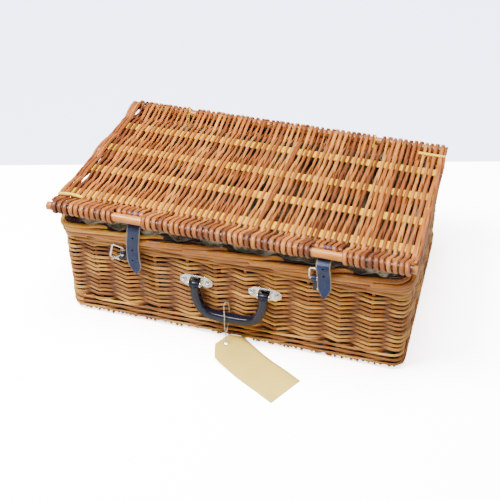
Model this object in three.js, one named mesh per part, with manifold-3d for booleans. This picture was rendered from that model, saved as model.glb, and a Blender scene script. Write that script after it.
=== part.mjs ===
// A lidded willow picnic hamper: woven box and lid, bail handle, two buckled leather straps,
// cotton liner, and a card ticket tied to the handle. Millimetres, +Z up, X along the front,
// -Y towards the front, origin under the middle of the base.
import * as THREE from "three";
import { mergeVertices } from "three/addons/utils/BufferGeometryUtils.js";
import Module from "manifold-3d";

const wasm = await Module();
wasm.setup();

// ---- driving dimensions ----
const WALL_WIDTH = 498;
const WALL_DEPTH = 304;
const WALL_THICK = 8.5;
const WALL_CORNER = 18;
const WALE_PROUD = 1.5; // how far the waling stands out past the plain weave
const FOOT_BOTTOM = 1.5; // the foot wale ends this far above the base's underside
const ROW_GAP = 0.5; // between the weave, the waling and the border
const BASE_THICK = 9;
const BASE_INSET = 2.5; // from the wall's inside to the base weave
const BASE_STICK_RADIUS = 4;
const BASE_ROD_RADIUS = 2.6;
const WEAVE_BOTTOM = 31;
const WEAVE_TOP = 131.5;
const BORDER_WIDTH = 507;
const BORDER_DEPTH = 326;
const BORDER_BOTTOM = 143.5;
const BORDER_TOP = 172.4;
const BORDER_CORNER = 26;
const BORDER_ROUND = 6.4;
const BORDER_SEAT = 168; // top of the border under the lid's back stick
const SEAT_FRONT = 138;
const LONG_STAKES = [-200, -156, -111, -62, -22, 22, 64.5, 111, 156, 200]; // clear of the screws
const SHORT_STAKES = [-110, -66, -22, 22, 66, 110];
const STAKE_RADIUS = 2.4;
const CLEARANCE = 0.4; // between a piece and the one it sits in

const LINER_GAP = 1.9; // between the wall's inside and the liner
const LINER_THICK = 2.5;
const LINER_FLOOR = 11.5;
const LINER_TOP = 149;
const LINER_CORNER = 10;
const ROLL_RADIUS = 8;
const ROLL_HEIGHT = 158;

const HINGE_Y = 149;
const HINGE_Z = 176;
const LID_DEPTH = 313.35; // from the back stick's axis to the front stick's
const LID_REST_TILT = THREE.MathUtils.degToRad(3.3); // the liner holds the lid a little open
const LID_LEFT = -251;
const LID_RIGHT = 250;
const LID_HALF = 3.3; // half the lid weave's thickness
const STICK_RADIUS = 6;
const FRONT_STICK = [-257.5, 254]; // its two ends
const BACK_STICK = [-252.5, 253];
const FRONT_WRAP = 9; // radius of the weavers turned round the front stick
const BACK_WRAP = 7.6;
const SLAT_WIDTH = 17;
const SLAT_THICK = 1.6;
const SLAT_PLACES = [68.6, 137.7, 201.7, 269.6]; // distance from the back stick's axis
const NOTCHES = [
  [-154.5, -120],
  [120, 155.5],
];
const NOTCH_ROD = 2;
const NOTCH_ROD_PLACE = 13; // from the front stick's axis to the notch rod's
const NOTCH_DEPTH = 20;
const EDGE_ROD = 2.6;
const PEG_RADIUS = 2.5;
const PEGS = [
  { side: "left", from: LID_LEFT, to: LID_LEFT + 37, place: 290 },
  { side: "right", from: LID_RIGHT - 37, to: LID_RIGHT + 3, place: 28 },
];
const HINGE_PLACES = [-158, 142];
const HINGE_GAP = 5; // half the gap in the weave round each hinge ring
const RING_HALF = 2; // half a hinge ring's width
const RING_THICK = 3.5;

const STRAP_WIDTH = 19;
const STRAP_THICK = 2;
const STRAP_LOOP = 2.4; // inside radius of the loop round the notch rod
const STRAP_POINT = 17; // length of the tapered end
const STRAP_HOLE = 1.6;
const STRAPS = [
  { side: "left", x: -135, tip: 103.5, holes: [163.5, 142, 125.5], face: -164.2, bend: 180.5 },
  { side: "right", x: 136.5, tip: 131.5, holes: [177.5, 165.5], face: -174, bend: 182 },
];

const TAB_WIDTH = 18;
const TAB_THICK = 1.8;
const TAB_LOOP = 1.9; // inside radius of the tab's fold round the buckle bar
const BAR_REACH = 18; // from a tab's rivet to the buckle bar
const BUCKLE_WIDTH = 26;
const BUCKLE_LENGTH = 19;
const BUCKLE_WIRE = 2.6;
const BUCKLE_DEPTH = 2.2;
const LEFT_RIVET = new THREE.Vector3(-138, -154, 121);
const LEFT_TILT = THREE.MathUtils.degToRad(14);
const LEFT_PRONG_SWING = THREE.MathUtils.degToRad(55);
const RIGHT_BAR = new THREE.Vector3(127.5, -163.3, 154);
const RIGHT_RIVET_Z = 127;

const HANDLE_X = 1.5;
const PIVOT_SPAN = 50; // from the handle's middle to each pivot
const PIVOT_Y = -160;
const PIVOT_Z = 97;
const BARREL_RADIUS = 4.6;
const BARREL_LENGTH = 14;
const PIN_RADIUS = 1.6;
const GRIP_Y = -161.5;
const GRIP_Z = 47;
const GRIP_THICK = 12.4;
const GRIP_DEPTH = 13;
const PLATE_LENGTH = 47;
const PLATE_HEIGHT = 20;
const PLATE_THICK = 1.2;
const SCREW_SPAN = 18;
const SCREW_RADIUS = 1.6;
const SCREW_HEAD = 4.6;
const EAR_THICK = 1.5;
const PIN_PLAY = 0.3;

const TAG_LENGTH = 126;
const TAG_WIDTH = 58;
const TAG_THICK = 0.8;
const TAG_CLIP = 15;
const TAG_HEADING = THREE.MathUtils.degToRad(-29); // the way its far end points, from +X
const TAG_FAR = new THREE.Vector3(104, -235, 0.3);
const TAG_FLAT = 60; // length that lies flat before the card curves up
const TAG_LIFT = 13.5;
const EYELET_INSET = 8;
const STRING_RADIUS = 0.6;

// ---- materials ----
const finish = (color, roughness, metalness = 0) =>
  new THREE.MeshStandardMaterial({ color, roughness, metalness });
const WALL_WILLOW = finish(0xb8793f, 0.6);
const LID_WILLOW = finish(0xa8623c, 0.5);
const PALE_WILLOW = finish(0xd9a85c, 0.5);
const LINEN = finish(0x7d8471, 0.95);
const NICKEL = finish(0xc9c6ba, 0.25, 1);
const BLUE_LEATHER = finish(0x2f4674, 0.45);
const DARK_LEATHER = finish(0x23283a, 0.5);
const NAVY_PLASTIC = finish(0x1d2130, 0.35);
const CARD = finish(0xc7a877, 0.9);
const TWINE = finish(0xcbb791, 0.9);

// ---- tools ----
const vec = (x, y, z) => new THREE.Vector3(x, y, z);

function toSolid(geometry) {
  const bare = geometry.clone();
  bare.deleteAttribute("normal");
  bare.deleteAttribute("uv");
  const merged = mergeVertices(bare, 1e-4);
  const mesh = new wasm.Mesh({
    numProp: 3,
    vertProperties: new Float32Array(merged.attributes.position.array),
    triVerts: new Uint32Array(merged.index.array),
  });
  return new wasm.Manifold(mesh);
}

function toGeometry(solid) {
  const mesh = solid.getMesh();
  const geometry = new THREE.BufferGeometry();
  geometry.setAttribute("position", new THREE.BufferAttribute(mesh.vertProperties, 3));
  geometry.setIndex(new THREE.BufferAttribute(mesh.triVerts, 1));
  geometry.computeVertexNormals();
  return geometry;
}

const combine = (verb) => (first, ...others) =>
  toGeometry(others.reduce((all, next) => all[verb](toSolid(next)), toSolid(first)));
const join = combine("add");
const cut = combine("subtract");
const common = combine("intersect");

function block(low, high) {
  const size = high.clone().sub(low);
  const middle = low.clone().add(high).multiplyScalar(0.5);
  return new THREE.BoxGeometry(size.x, size.y, size.z).translate(middle.x, middle.y, middle.z);
}

function rod(from, to, radius, sides = 10) {
  const along = to.clone().sub(from);
  const turn = new THREE.Quaternion().setFromUnitVectors(vec(0, 1, 0), along.clone().normalize());
  const middle = from.clone().add(to).multiplyScalar(0.5);
  return new THREE.CylinderGeometry(radius, radius, along.length(), sides)
    .applyQuaternion(turn)
    .translate(middle.x, middle.y, middle.z);
}

const barX = (x0, x1, y, z, radius, sides) => rod(vec(x0, y, z), vec(x1, y, z), radius, sides);
const barY = (x, y0, y1, z, radius, sides) => rod(vec(x, y0, z), vec(x, y1, z), radius, sides);
const barZ = (x, y, z0, z1, radius, sides) => rod(vec(x, y, z0), vec(x, y, z1), radius, sides);

function extrude(shape, depth, options = {}) {
  return new THREE.ExtrudeGeometry(shape, { depth, bevelEnabled: false, curveSegments: 6, ...options });
}

// A shape drawn in (y, z), swept from x0 to x1.
function alongX(shape, x0, x1, options) {
  const turn = new THREE.Matrix4().makeBasis(vec(0, 1, 0), vec(0, 0, 1), vec(1, 0, 0));
  return extrude(shape, x1 - x0, options).applyMatrix4(turn).translate(x0, 0, 0);
}

// A shape drawn in (x, z), swept from y1 back to y0, with y0 the lower value.
function alongY(shape, y0, y1, options) {
  const turn = new THREE.Matrix4().makeBasis(vec(1, 0, 0), vec(0, 0, 1), vec(0, -1, 0));
  return extrude(shape, y1 - y0, options).applyMatrix4(turn).translate(0, y1, 0);
}

// A shape drawn in (x, y), swept from z0 to z1.
const alongZ = (shape, z0, z1, options) => extrude(shape, z1 - z0, options).translate(0, 0, z0);

function roundedRect(width, height, radius, Kind = THREE.Shape) {
  const outline = new Kind();
  const x = width / 2 - radius;
  const y = height / 2 - radius;
  outline.absarc(x, -y, radius, -Math.PI / 2, 0);
  outline.absarc(x, y, radius, 0, Math.PI / 2);
  outline.absarc(-x, y, radius, Math.PI / 2, Math.PI);
  outline.absarc(-x, -y, radius, Math.PI, Math.PI * 1.5);
  return outline;
}

function ringShape(width, height, radius, band) {
  const outline = roundedRect(width, height, radius);
  const inner = Math.max(radius - band, 1);
  outline.holes.push(roundedRect(width - 2 * band, height - 2 * band, inner, THREE.Path));
  return outline;
}

function polygon(points) {
  return new THREE.Shape(points.map(([x, y]) => new THREE.Vector2(x, y)));
}

// A ring between an outer and an inner rounded rectangle, each [width, depth, corner], with its
// edges rounded.
function softRing(outer, inner, z0, z1, round) {
  const core = roundedRect(outer[0] - 2 * round, outer[1] - 2 * round, outer[2] - round);
  core.holes.push(roundedRect(inner[0] + 2 * round, inner[1] + 2 * round, inner[2] + round, THREE.Path));
  const bevel = { bevelEnabled: true, bevelThickness: round, bevelSize: round, bevelSegments: 2 };
  return alongZ(core, z0 + round, z1 - round, { ...bevel, curveSegments: 4 });
}

const hamper = new THREE.Group();
const lid = new THREE.Group();
lid.position.set(0, HINGE_Y, HINGE_Z);
lid.rotation.x = -LID_REST_TILT;
hamper.add(lid);

function add(name, geometry, material, group = hamper) {
  const mesh = new THREE.Mesh(geometry, material);
  mesh.name = name;
  group.add(mesh);
  return mesh;
}

const WALL_X = WALL_WIDTH / 2;
const WALL_Y = WALL_DEPTH / 2;
const HANDLE_PIVOTS = [HANDLE_X - PIVOT_SPAN, HANDLE_X + PIVOT_SPAN];
const SCREW_XS = HANDLE_PIVOTS.flatMap((x) => [x - SCREW_SPAN, x + SCREW_SPAN]);

// ---- base ----
function addBase() {
  const outerStickY = WALL_Y - WALL_THICK - BASE_INSET - BASE_STICK_RADIUS - 0.8;
  const middleZ = BASE_THICK / 2;
  const halfX = WALL_X - WALL_THICK - BASE_INSET;
  const halfY = outerStickY - BASE_STICK_RADIUS - 0.6;
  const slab = block(vec(-halfX, -halfY, 0), vec(halfX, halfY, BASE_THICK));
  const channel = barX(-halfX - 1, halfX + 1, 0, middleZ, BASE_ROD_RADIUS + CLEARANCE, 8);
  add("base_weave", cut(slab, channel), WALL_WILLOW);
  add("base_stick_middle", barX(-halfX, halfX, 0, middleZ, BASE_ROD_RADIUS, 8), PALE_WILLOW);
  const end = halfX - 6;
  add("base_stick_front", barX(-end, end, -outerStickY, middleZ, BASE_STICK_RADIUS), PALE_WILLOW);
  add("base_stick_back", barX(-end, end, outerStickY, middleZ, BASE_STICK_RADIUS), PALE_WILLOW);
}

// ---- walls ----
// One wall in its own frame: it faces -Y, length long, with its stakes in channels and a rod in
// a slot along its foot that joins them.
function wallPieces(length, reach, stakeXs, holes) {
  const outer = -reach;
  const inner = outer + WALL_THICK;
  const middle = (outer + inner) / 2;
  const half = length / 2 - 0.3;
  const slotTop = WEAVE_BOTTOM + 2 * STAKE_RADIUS + CLEARANCE;
  const slot = STAKE_RADIUS + CLEARANCE;
  const ends = stakeXs[stakeXs.length - 1];
  const panel = block(vec(-half, outer, WEAVE_BOTTOM), vec(half, inner, WEAVE_TOP));
  const slotBox = block(
    vec(-ends - slot, middle - slot, WEAVE_BOTTOM - 1),
    vec(ends + slot, middle + slot, slotTop),
  );
  const channels = stakeXs.map((x) => barZ(x, middle, slotTop - 1, WEAVE_TOP + 1, slot, 8));
  const bores = holes.map(([x, z, radius]) => barY(x, outer - 1, inner + 1, z, radius, 8));
  const weave = cut(panel, slotBox, ...channels, ...bores);
  const barHeight = WEAVE_BOTTOM + STAKE_RADIUS + CLEARANCE / 2;
  const lying = barX(-ends, ends, middle, barHeight, STAKE_RADIUS, 8);
  const stakes = stakeXs.map((x) => barZ(x, middle, barHeight, WEAVE_TOP - 0.2, STAKE_RADIUS - 0.2, 8));
  return { weave, comb: join(lying, ...stakes) };
}

function addWalls() {
  const longWall = WALL_WIDTH - 2 * WALL_CORNER;
  const shortWall = WALL_DEPTH - 2 * WALL_CORNER;
  const frontHoles = [
    ...SCREW_XS.map((x) => [x, PIVOT_Z, 2.1]),
    [LEFT_RIVET.x, LEFT_RIVET.z, 1.7],
    [RIGHT_BAR.x, RIGHT_RIVET_Z, 1.7],
  ];
  const sides = [
    { name: "front", length: longWall, reach: WALL_Y, stakes: LONG_STAKES, turn: 0, holes: frontHoles },
    { name: "right", length: shortWall, reach: WALL_X, stakes: SHORT_STAKES, turn: Math.PI / 2, holes: [] },
    { name: "back", length: longWall, reach: WALL_Y, stakes: LONG_STAKES, turn: Math.PI, holes: [] },
    { name: "left", length: shortWall, reach: WALL_X, stakes: SHORT_STAKES, turn: -Math.PI / 2, holes: [] },
  ];
  for (const { name, length, reach, stakes, turn, holes } of sides) {
    const { weave, comb } = wallPieces(length, reach, stakes, holes);
    add(name + "_wall_weave", weave.rotateZ(turn), WALL_WILLOW);
    add(name + "_stakes", comb.rotateZ(turn), PALE_WILLOW);
  }
}

function addCorners() {
  const quarter = new THREE.Shape();
  quarter.absarc(0, 0, WALL_CORNER, 0, Math.PI / 2);
  quarter.absarc(0, 0, WALL_CORNER - WALL_THICK, Math.PI / 2, 0, true);
  const corners = [
    ["back_right_corner", 1, 1, 0],
    ["back_left_corner", -1, 1, 1],
    ["front_left_corner", -1, -1, 2],
    ["front_right_corner", 1, -1, 3],
  ];
  for (const [name, sideX, sideY, turns] of corners) {
    const post = alongZ(quarter, WEAVE_BOTTOM, WEAVE_TOP).rotateZ((turns * Math.PI) / 2);
    post.translate(sideX * (WALL_X - WALL_CORNER), sideY * (WALL_Y - WALL_CORNER), 0);
    add(name, post, WALL_WILLOW);
  }
}

function addWales() {
  const band = WALL_THICK + WALE_PROUD;
  const size = [WALL_WIDTH + 2 * WALE_PROUD, WALL_DEPTH + 2 * WALE_PROUD, WALL_CORNER + WALE_PROUD];
  const ring = (z0, z1) => alongZ(ringShape(...size, band), z0, z1);
  add("foot_wale", ring(FOOT_BOTTOM, WEAVE_BOTTOM - ROW_GAP), WALL_WILLOW);
  add("top_wale", ring(WEAVE_TOP + ROW_GAP, BORDER_BOTTOM - ROW_GAP), WALL_WILLOW);
}

// ---- border, and the willow rings that tie the lid to it ----
// A ring's outline in (y, z): two round ends, one round the back stick and one inside the border.
function hingeLoop(outset) {
  const stickEnd = new THREE.Vector2(HINGE_Y, HINGE_Z);
  const borderEnd = new THREE.Vector2(BORDER_DEPTH / 2 - 10, BORDER_TOP - 14);
  const along = borderEnd.clone().sub(stickEnd);
  const angle = along.angle();
  const stickRadius = STICK_RADIUS + 0.5 + outset;
  const borderRadius = 4 + outset;
  const lean = Math.asin((stickRadius - borderRadius) / along.length());
  return (Kind) => {
    const outline = new Kind();
    const from = angle + Math.PI / 2 - lean;
    outline.absarc(stickEnd.x, stickEnd.y, stickRadius, from, from + Math.PI + 2 * lean);
    outline.absarc(borderEnd.x, borderEnd.y, borderRadius, angle - Math.PI / 2 + lean, from + 2 * Math.PI);
    return outline;
  };
}

function hingeRing(x, halfWidth, inside, outside) {
  const outline = hingeLoop(outside)(THREE.Shape);
  outline.holes.push(hingeLoop(inside)(THREE.Path));
  return alongX(outline, x - halfWidth, x + halfWidth, { curveSegments: 8 });
}

function addBorderAndHinges() {
  const outer = [BORDER_WIDTH, BORDER_DEPTH, BORDER_CORNER];
  const inner = [WALL_WIDTH - 2 * WALL_THICK, WALL_DEPTH - 2 * WALL_THICK, WALL_CORNER - WALL_THICK];
  const band = softRing(outer, inner, BORDER_BOTTOM, BORDER_TOP, BORDER_ROUND);
  const seat = block(
    vec(-BORDER_WIDTH, SEAT_FRONT, BORDER_SEAT),
    vec(BORDER_WIDTH, BORDER_DEPTH, BORDER_TOP + 1),
  );
  const slots = HINGE_PLACES.map((x) =>
    hingeRing(x, RING_HALF + CLEARANCE, -CLEARANCE, RING_THICK + CLEARANCE),
  );
  add("border", cut(band, seat, ...slots), WALL_WILLOW);
  HINGE_PLACES.forEach((x, i) => {
    add("hinge_ring_" + ["left", "right"][i], hingeRing(x, RING_HALF, 0, RING_THICK), PALE_WILLOW);
  });
}

// ---- liner ----
function addLiner() {
  const width = WALL_WIDTH - 2 * (WALL_THICK + LINER_GAP);
  const depth = WALL_DEPTH - 2 * (WALL_THICK + LINER_GAP);
  const outside = alongZ(roundedRect(width, depth, LINER_CORNER), LINER_FLOOR, LINER_TOP);
  const inside = roundedRect(
    width - 2 * LINER_THICK,
    depth - 2 * LINER_THICK,
    LINER_CORNER - LINER_THICK,
  );
  add("liner", cut(outside, alongZ(inside, LINER_FLOOR + LINER_THICK, LINER_TOP + 1)), LINEN);
  const across = 4 * ROLL_RADIUS;
  const rollInner = [width - across, depth - across, 4];
  const rollLow = ROLL_HEIGHT - ROLL_RADIUS;
  const rollHigh = ROLL_HEIGHT + ROLL_RADIUS;
  add("liner_roll", softRing([width, depth, 20], rollInner, rollLow, rollHigh, ROLL_RADIUS - 1), LINEN);
}

// ---- lid, drawn flat with the hinge axis at the origin and the front towards -Y ----
function addLidWeave() {
  const far = LID_DEPTH;
  const edge = STICK_RADIUS + 1;
  const slab = block(vec(LID_LEFT, -far + edge, -LID_HALF), vec(LID_RIGHT, -edge, LID_HALF));
  const frontRuns = [
    [LID_LEFT + 3, NOTCHES[0][0] - 1],
    [NOTCHES[0][1] + 1, NOTCHES[1][0] - 1],
    [NOTCHES[1][1] + 1, LID_RIGHT - 3],
  ];
  const backRuns = [
    [LID_LEFT + 3, HINGE_PLACES[0] - HINGE_GAP],
    [HINGE_PLACES[0] + HINGE_GAP, HINGE_PLACES[1] - HINGE_GAP],
    [HINGE_PLACES[1] + HINGE_GAP, LID_RIGHT - 3],
  ];
  const wraps = [
    ...frontRuns.map(([a, b]) => barX(a, b, -far, 0, FRONT_WRAP, 16)),
    ...backRuns.map(([a, b]) => barX(a, b, 0, 0, BACK_WRAP, 16)),
  ];
  const tall = LID_HALF + 1;
  const room = SLAT_THICK / 2 + 0.3;
  const slatHalf = SLAT_WIDTH / 2 + CLEARANCE;
  const cuts = [
    barX(...FRONT_STICK, -far, 0, STICK_RADIUS + CLEARANCE, 14),
    barX(...BACK_STICK, 0, 0, STICK_RADIUS + CLEARANCE, 14),
    ...NOTCHES.map(([a, b]) =>
      block(vec(a - 1, -far - 1, -tall), vec(b + 1, -far + NOTCH_DEPTH, tall)),
    ),
    ...HINGE_PLACES.map((x) =>
      block(vec(x - HINGE_GAP, -NOTCH_DEPTH, -tall), vec(x + HINGE_GAP, 1, tall)),
    ),
    ...SLAT_PLACES.map((s) =>
      block(vec(LID_LEFT - 1, -s - slatHalf, -room), vec(LID_RIGHT + 1, -s + slatHalf, room)),
    ),
  ];
  add("lid_weave", cut(join(slab, ...wraps), ...cuts), LID_WILLOW, lid);
}

function addLidSticks() {
  add("lid_front_stick", barX(...FRONT_STICK, -LID_DEPTH, 0, STICK_RADIUS, 14), PALE_WILLOW, lid);
  add("lid_back_stick", barX(...BACK_STICK, 0, 0, STICK_RADIUS, 14), PALE_WILLOW, lid);
  SLAT_PLACES.forEach((s, i) => {
    const low = vec(LID_LEFT, -s - SLAT_WIDTH / 2, -SLAT_THICK / 2);
    const high = vec(LID_RIGHT, -s + SLAT_WIDTH / 2, SLAT_THICK / 2);
    add("lid_slat_" + (i + 1), block(low, high), PALE_WILLOW, lid);
  });
}

function addLidRods() {
  const notchY = -LID_DEPTH + NOTCH_ROD_PLACE;
  NOTCHES.forEach(([a, b], i) => {
    const inner = barX(a - 0.6, b + 0.6, notchY, 0, NOTCH_ROD, 8);
    add(["left", "right"][i] + "_notch_rod", inner, LID_WILLOW, lid);
  });
  const front = -LID_DEPTH + STICK_RADIUS + 3;
  const back = -STICK_RADIUS - 3;
  const offset = EDGE_ROD + CLEARANCE;
  add("lid_left_edge", barY(LID_LEFT - offset, front, back, 0, EDGE_ROD), LID_WILLOW, lid);
  add("lid_right_edge", barY(LID_RIGHT + offset, front, back, 0, EDGE_ROD), LID_WILLOW, lid);
  const pegZ = LID_HALF + PEG_RADIUS + CLEARANCE;
  for (const { side, from, to, place } of PEGS) {
    add(side + "_corner_peg", barX(from, to, -place, pegZ, PEG_RADIUS, 8), PALE_WILLOW, lid);
  }
}

// ---- straps, looped round the notch rods and hanging down over the border ----
const LOOP_SPAN = LID_DEPTH - NOTCH_ROD_PLACE;
const LOOP_Y = HINGE_Y - LOOP_SPAN * Math.cos(LID_REST_TILT);
const LOOP_Z = HINGE_Z + LOOP_SPAN * Math.sin(LID_REST_TILT);

function strapOutline(x, tip, holes) {
  const half = STRAP_WIDTH / 2;
  const shoulder = tip + STRAP_POINT;
  const top = LOOP_Z + 12;
  const outline = new THREE.Shape();
  outline.moveTo(x - half, top);
  outline.lineTo(x - half, shoulder);
  outline.quadraticCurveTo(x - half + 1, tip + 7, x, tip);
  outline.quadraticCurveTo(x + half - 1, tip + 7, x + half, shoulder);
  outline.lineTo(x + half, top);
  for (const z of holes) {
    const hole = new THREE.Path();
    hole.absarc(x, z, STRAP_HOLE, 0, 2 * Math.PI, true);
    outline.holes.push(hole);
  }
  return outline;
}

function addStrap({ side, x, tip, holes, face, bend }) {
  const half = STRAP_WIDTH / 2;
  const ringOuter = STRAP_LOOP + STRAP_THICK;
  const under = LOOP_Z - ringOuter;
  const band = polygon([
    [LOOP_Y, under],
    [face, bend - 1],
    [face, tip - 1],
    [face - STRAP_THICK, tip - 1],
    [face - STRAP_THICK, bend],
    [LOOP_Y - 1.3, under + 1.6],
  ]);
  const loop = barX(x - half, x + half, LOOP_Y, LOOP_Z, ringOuter, 16);
  const bore = barX(x - half - 1, x + half + 1, LOOP_Y, LOOP_Z, STRAP_LOOP, 16);
  const whole = join(alongX(band, x - half, x + half), loop);
  const outline = alongY(strapOutline(x, tip, holes), face - 10, LOOP_Y + 10);
  add(side + "_strap", cut(common(whole, outline), bore), BLUE_LEATHER);
  const slope = vec(0, face - LOOP_Y, bend - 1 - under).normalize();
  const below = vec(0, -slope.z, slope.y);
  const seat = vec(x, LOOP_Y, under).addScaledVector(slope, 5.2).addScaledVector(below, 0.3);
  const head = seat.clone().addScaledVector(below, 1.2);
  add(side + "_strap_rivet", rod(seat, head, 2.6), NICKEL);
}

// ---- buckles: the strap runs along the local X, away from the bar, with the bar at the origin ----
function buckleFrame() {
  const x = -BUCKLE_LENGTH / 2 + BUCKLE_WIRE / 2;
  const shape = ringShape(BUCKLE_LENGTH - 0.8, BUCKLE_WIDTH - 0.8, 3.6, BUCKLE_WIRE - 0.8);
  const size = { bevelThickness: 0.4, bevelSize: 0.4, bevelSegments: 1 };
  const bevel = { bevelEnabled: true, curveSegments: 2, ...size };
  const half = BUCKLE_DEPTH / 2;
  return alongY(shape, -half + 0.4, half - 0.4, bevel).translate(x, 0, 0);
}

function buckleProng() {
  const eye = cut(barZ(0, 0, -1.5, 1.5, 3.2, 12), barZ(0, 0, -2, 2, 2, 12));
  const reach = -BUCKLE_LENGTH + BUCKLE_WIRE / 2 - 1;
  return join(eye, rod(vec(-2.6, -0.6, 0), vec(reach, -2.6, 0), 1.1, 8));
}

function prongSlot(bar) {
  return block(vec(bar.x - 4.4, bar.y - 4.4, bar.z - 2), vec(bar.x + 3.8, bar.y + 4.4, bar.z + 2));
}

function tabRivet(x, z, front, back) {
  const head = barY(x, front - 1.4, front - 0.2, z, 3.2, 12);
  const shank = barY(x, front - 0.5, back + 0.9, z, 1.2, 8);
  return join(head, shank, barY(x, back + 0.3, back + 1.1, z, 3, 12));
}

function addLeftBuckle() {
  const group = new THREE.Group();
  group.position.copy(LEFT_RIVET);
  group.rotation.y = LEFT_TILT;
  hamper.add(group);
  const outer = TAB_LOOP + TAB_THICK;
  const bar = vec(-BAR_REACH, -outer, 0);
  const half = TAB_WIDTH / 2;
  const strip = block(vec(-BAR_REACH, -TAB_THICK, -half), vec(7, 0, half));
  const tab = cut(
    join(strip, barZ(bar.x, bar.y, -half, half, outer, 16)),
    barZ(bar.x, bar.y, -half - 1, half + 1, TAB_LOOP, 12),
    prongSlot(bar),
    barY(0, -3, 1, 0, 1.6, 8),
  );
  add("left_tab", tab, DARK_LEATHER, group);
  const buckle = new THREE.Group();
  buckle.position.copy(bar);
  group.add(buckle);
  add("left_buckle", buckleFrame(), NICKEL, buckle);
  const prong = add("left_prong", buckleProng(), NICKEL, buckle);
  prong.rotation.z = LEFT_PRONG_SWING;
  const back = -WALL_Y + WALL_THICK;
  add("left_tab_rivet", tabRivet(LEFT_RIVET.x, LEFT_RIVET.z, LEFT_RIVET.y - TAB_THICK, back), NICKEL);
}

function addRightBuckle() {
  const outer = TAB_LOOP + TAB_THICK;
  const bar = vec(RIGHT_BAR.x, RIGHT_BAR.y - outer, RIGHT_BAR.z);
  const half = TAB_WIDTH / 2;
  const wallFace = -WALL_Y - WALE_PROUD - 0.5;
  const bend = BORDER_BOTTOM - 8;
  const foot = RIGHT_RIVET_Z - 4.5;
  const strip = polygon([
    [wallFace, foot],
    [wallFace, bend],
    [RIGHT_BAR.y, bend + 7],
    [RIGHT_BAR.y, bar.z],
    [RIGHT_BAR.y - TAB_THICK, bar.z],
    [RIGHT_BAR.y - TAB_THICK, bend + 8],
    [wallFace - TAB_THICK, bend + 0.8],
    [wallFace - TAB_THICK, foot],
  ]);
  const fold = barX(bar.x - half, bar.x + half, bar.y, bar.z, outer, 16);
  const tab = cut(
    join(alongX(strip, bar.x - half, bar.x + half), fold),
    barX(bar.x - half - 1, bar.x + half + 1, bar.y, bar.z, TAB_LOOP, 12),
    block(vec(bar.x - 2, bar.y - 4.4, bar.z - 3.8), vec(bar.x + 2, bar.y + 4.4, bar.z + 4.4)),
    barY(bar.x, wallFace - 4, wallFace + 1, RIGHT_RIVET_Z, 1.6, 8),
  );
  add("right_tab", tab, DARK_LEATHER);
  const buckle = new THREE.Group();
  buckle.position.copy(bar);
  buckle.rotation.y = Math.PI / 2;
  hamper.add(buckle);
  add("right_buckle", buckleFrame(), NICKEL, buckle);
  add("right_prong", buckleProng(), NICKEL, buckle);
  const back = -WALL_Y + WALL_THICK;
  add("right_tab_rivet", tabRivet(bar.x, RIGHT_RIVET_Z, wallFace - TAB_THICK, back), NICKEL);
}

// ---- handle ----
function bracket(x) {
  const half = PLATE_LENGTH / 2;
  const high = PLATE_HEIGHT / 2;
  const face = -WALL_Y - 0.5;
  const plate = polygon([
    [x - half, PIVOT_Z - 4],
    [x - half + 8, PIVOT_Z - high],
    [x + half - 8, PIVOT_Z - high],
    [x + half, PIVOT_Z - 4],
    [x + half, PIVOT_Z + 4],
    [x + half - 8, PIVOT_Z + high],
    [x - half + 8, PIVOT_Z + high],
    [x - half, PIVOT_Z + 4],
  ]);
  const ear = new THREE.Shape();
  ear.moveTo(face - 0.2, PIVOT_Z - 6.5);
  ear.lineTo(face - 0.2, PIVOT_Z + 6.5);
  ear.lineTo(PIVOT_Y, PIVOT_Z + BARREL_RADIUS);
  ear.absarc(PIVOT_Y, PIVOT_Z, BARREL_RADIUS, Math.PI / 2, Math.PI * 1.5);
  const inner = BARREL_LENGTH / 2 + 0.5;
  return cut(
    join(
      alongY(plate, face - PLATE_THICK, face),
      alongX(ear, x - inner - EAR_THICK, x - inner),
      alongX(ear, x + inner, x + inner + EAR_THICK),
    ),
    barX(x - 12, x + 12, PIVOT_Y, PIVOT_Z, PIN_RADIUS + PIN_PLAY, 12),
    barY(x - SCREW_SPAN, face - 3, face + 1, PIVOT_Z, 2, 10),
    barY(x + SCREW_SPAN, face - 3, face + 1, PIVOT_Z, 2, 10),
  );
}

function pivotPin(x) {
  const inner = BARREL_LENGTH / 2 + EAR_THICK + 0.8;
  return join(
    barX(x - inner - 0.9, x + inner + 0.9, PIVOT_Y, PIVOT_Z, PIN_RADIUS, 12),
    barX(x - inner - 1, x - inner, PIVOT_Y, PIVOT_Z, 2.7, 12),
    barX(x + inner, x + inner + 1, PIVOT_Y, PIVOT_Z, 2.7, 12),
  );
}

function screw(x) {
  const face = -WALL_Y - 0.5 - PLATE_THICK - 0.2;
  const ball = new THREE.SphereGeometry(SCREW_HEAD, 14, 8);
  const dome = ball.scale(1, 0.5, 1).translate(x, face, PIVOT_Z);
  const half = block(vec(x - 6, face - 5, PIVOT_Z - 6), vec(x + 6, face, PIVOT_Z + 6));
  const slot = block(vec(x - 6, face - 5, PIVOT_Z - 0.5), vec(x + 6, face - 1.3, PIVOT_Z + 0.5));
  const shank = barY(x, face - 0.6, -WALL_Y + WALL_THICK + 1.5, PIVOT_Z, SCREW_RADIUS, 8);
  return join(cut(common(dome, half), slot), shank);
}

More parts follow.
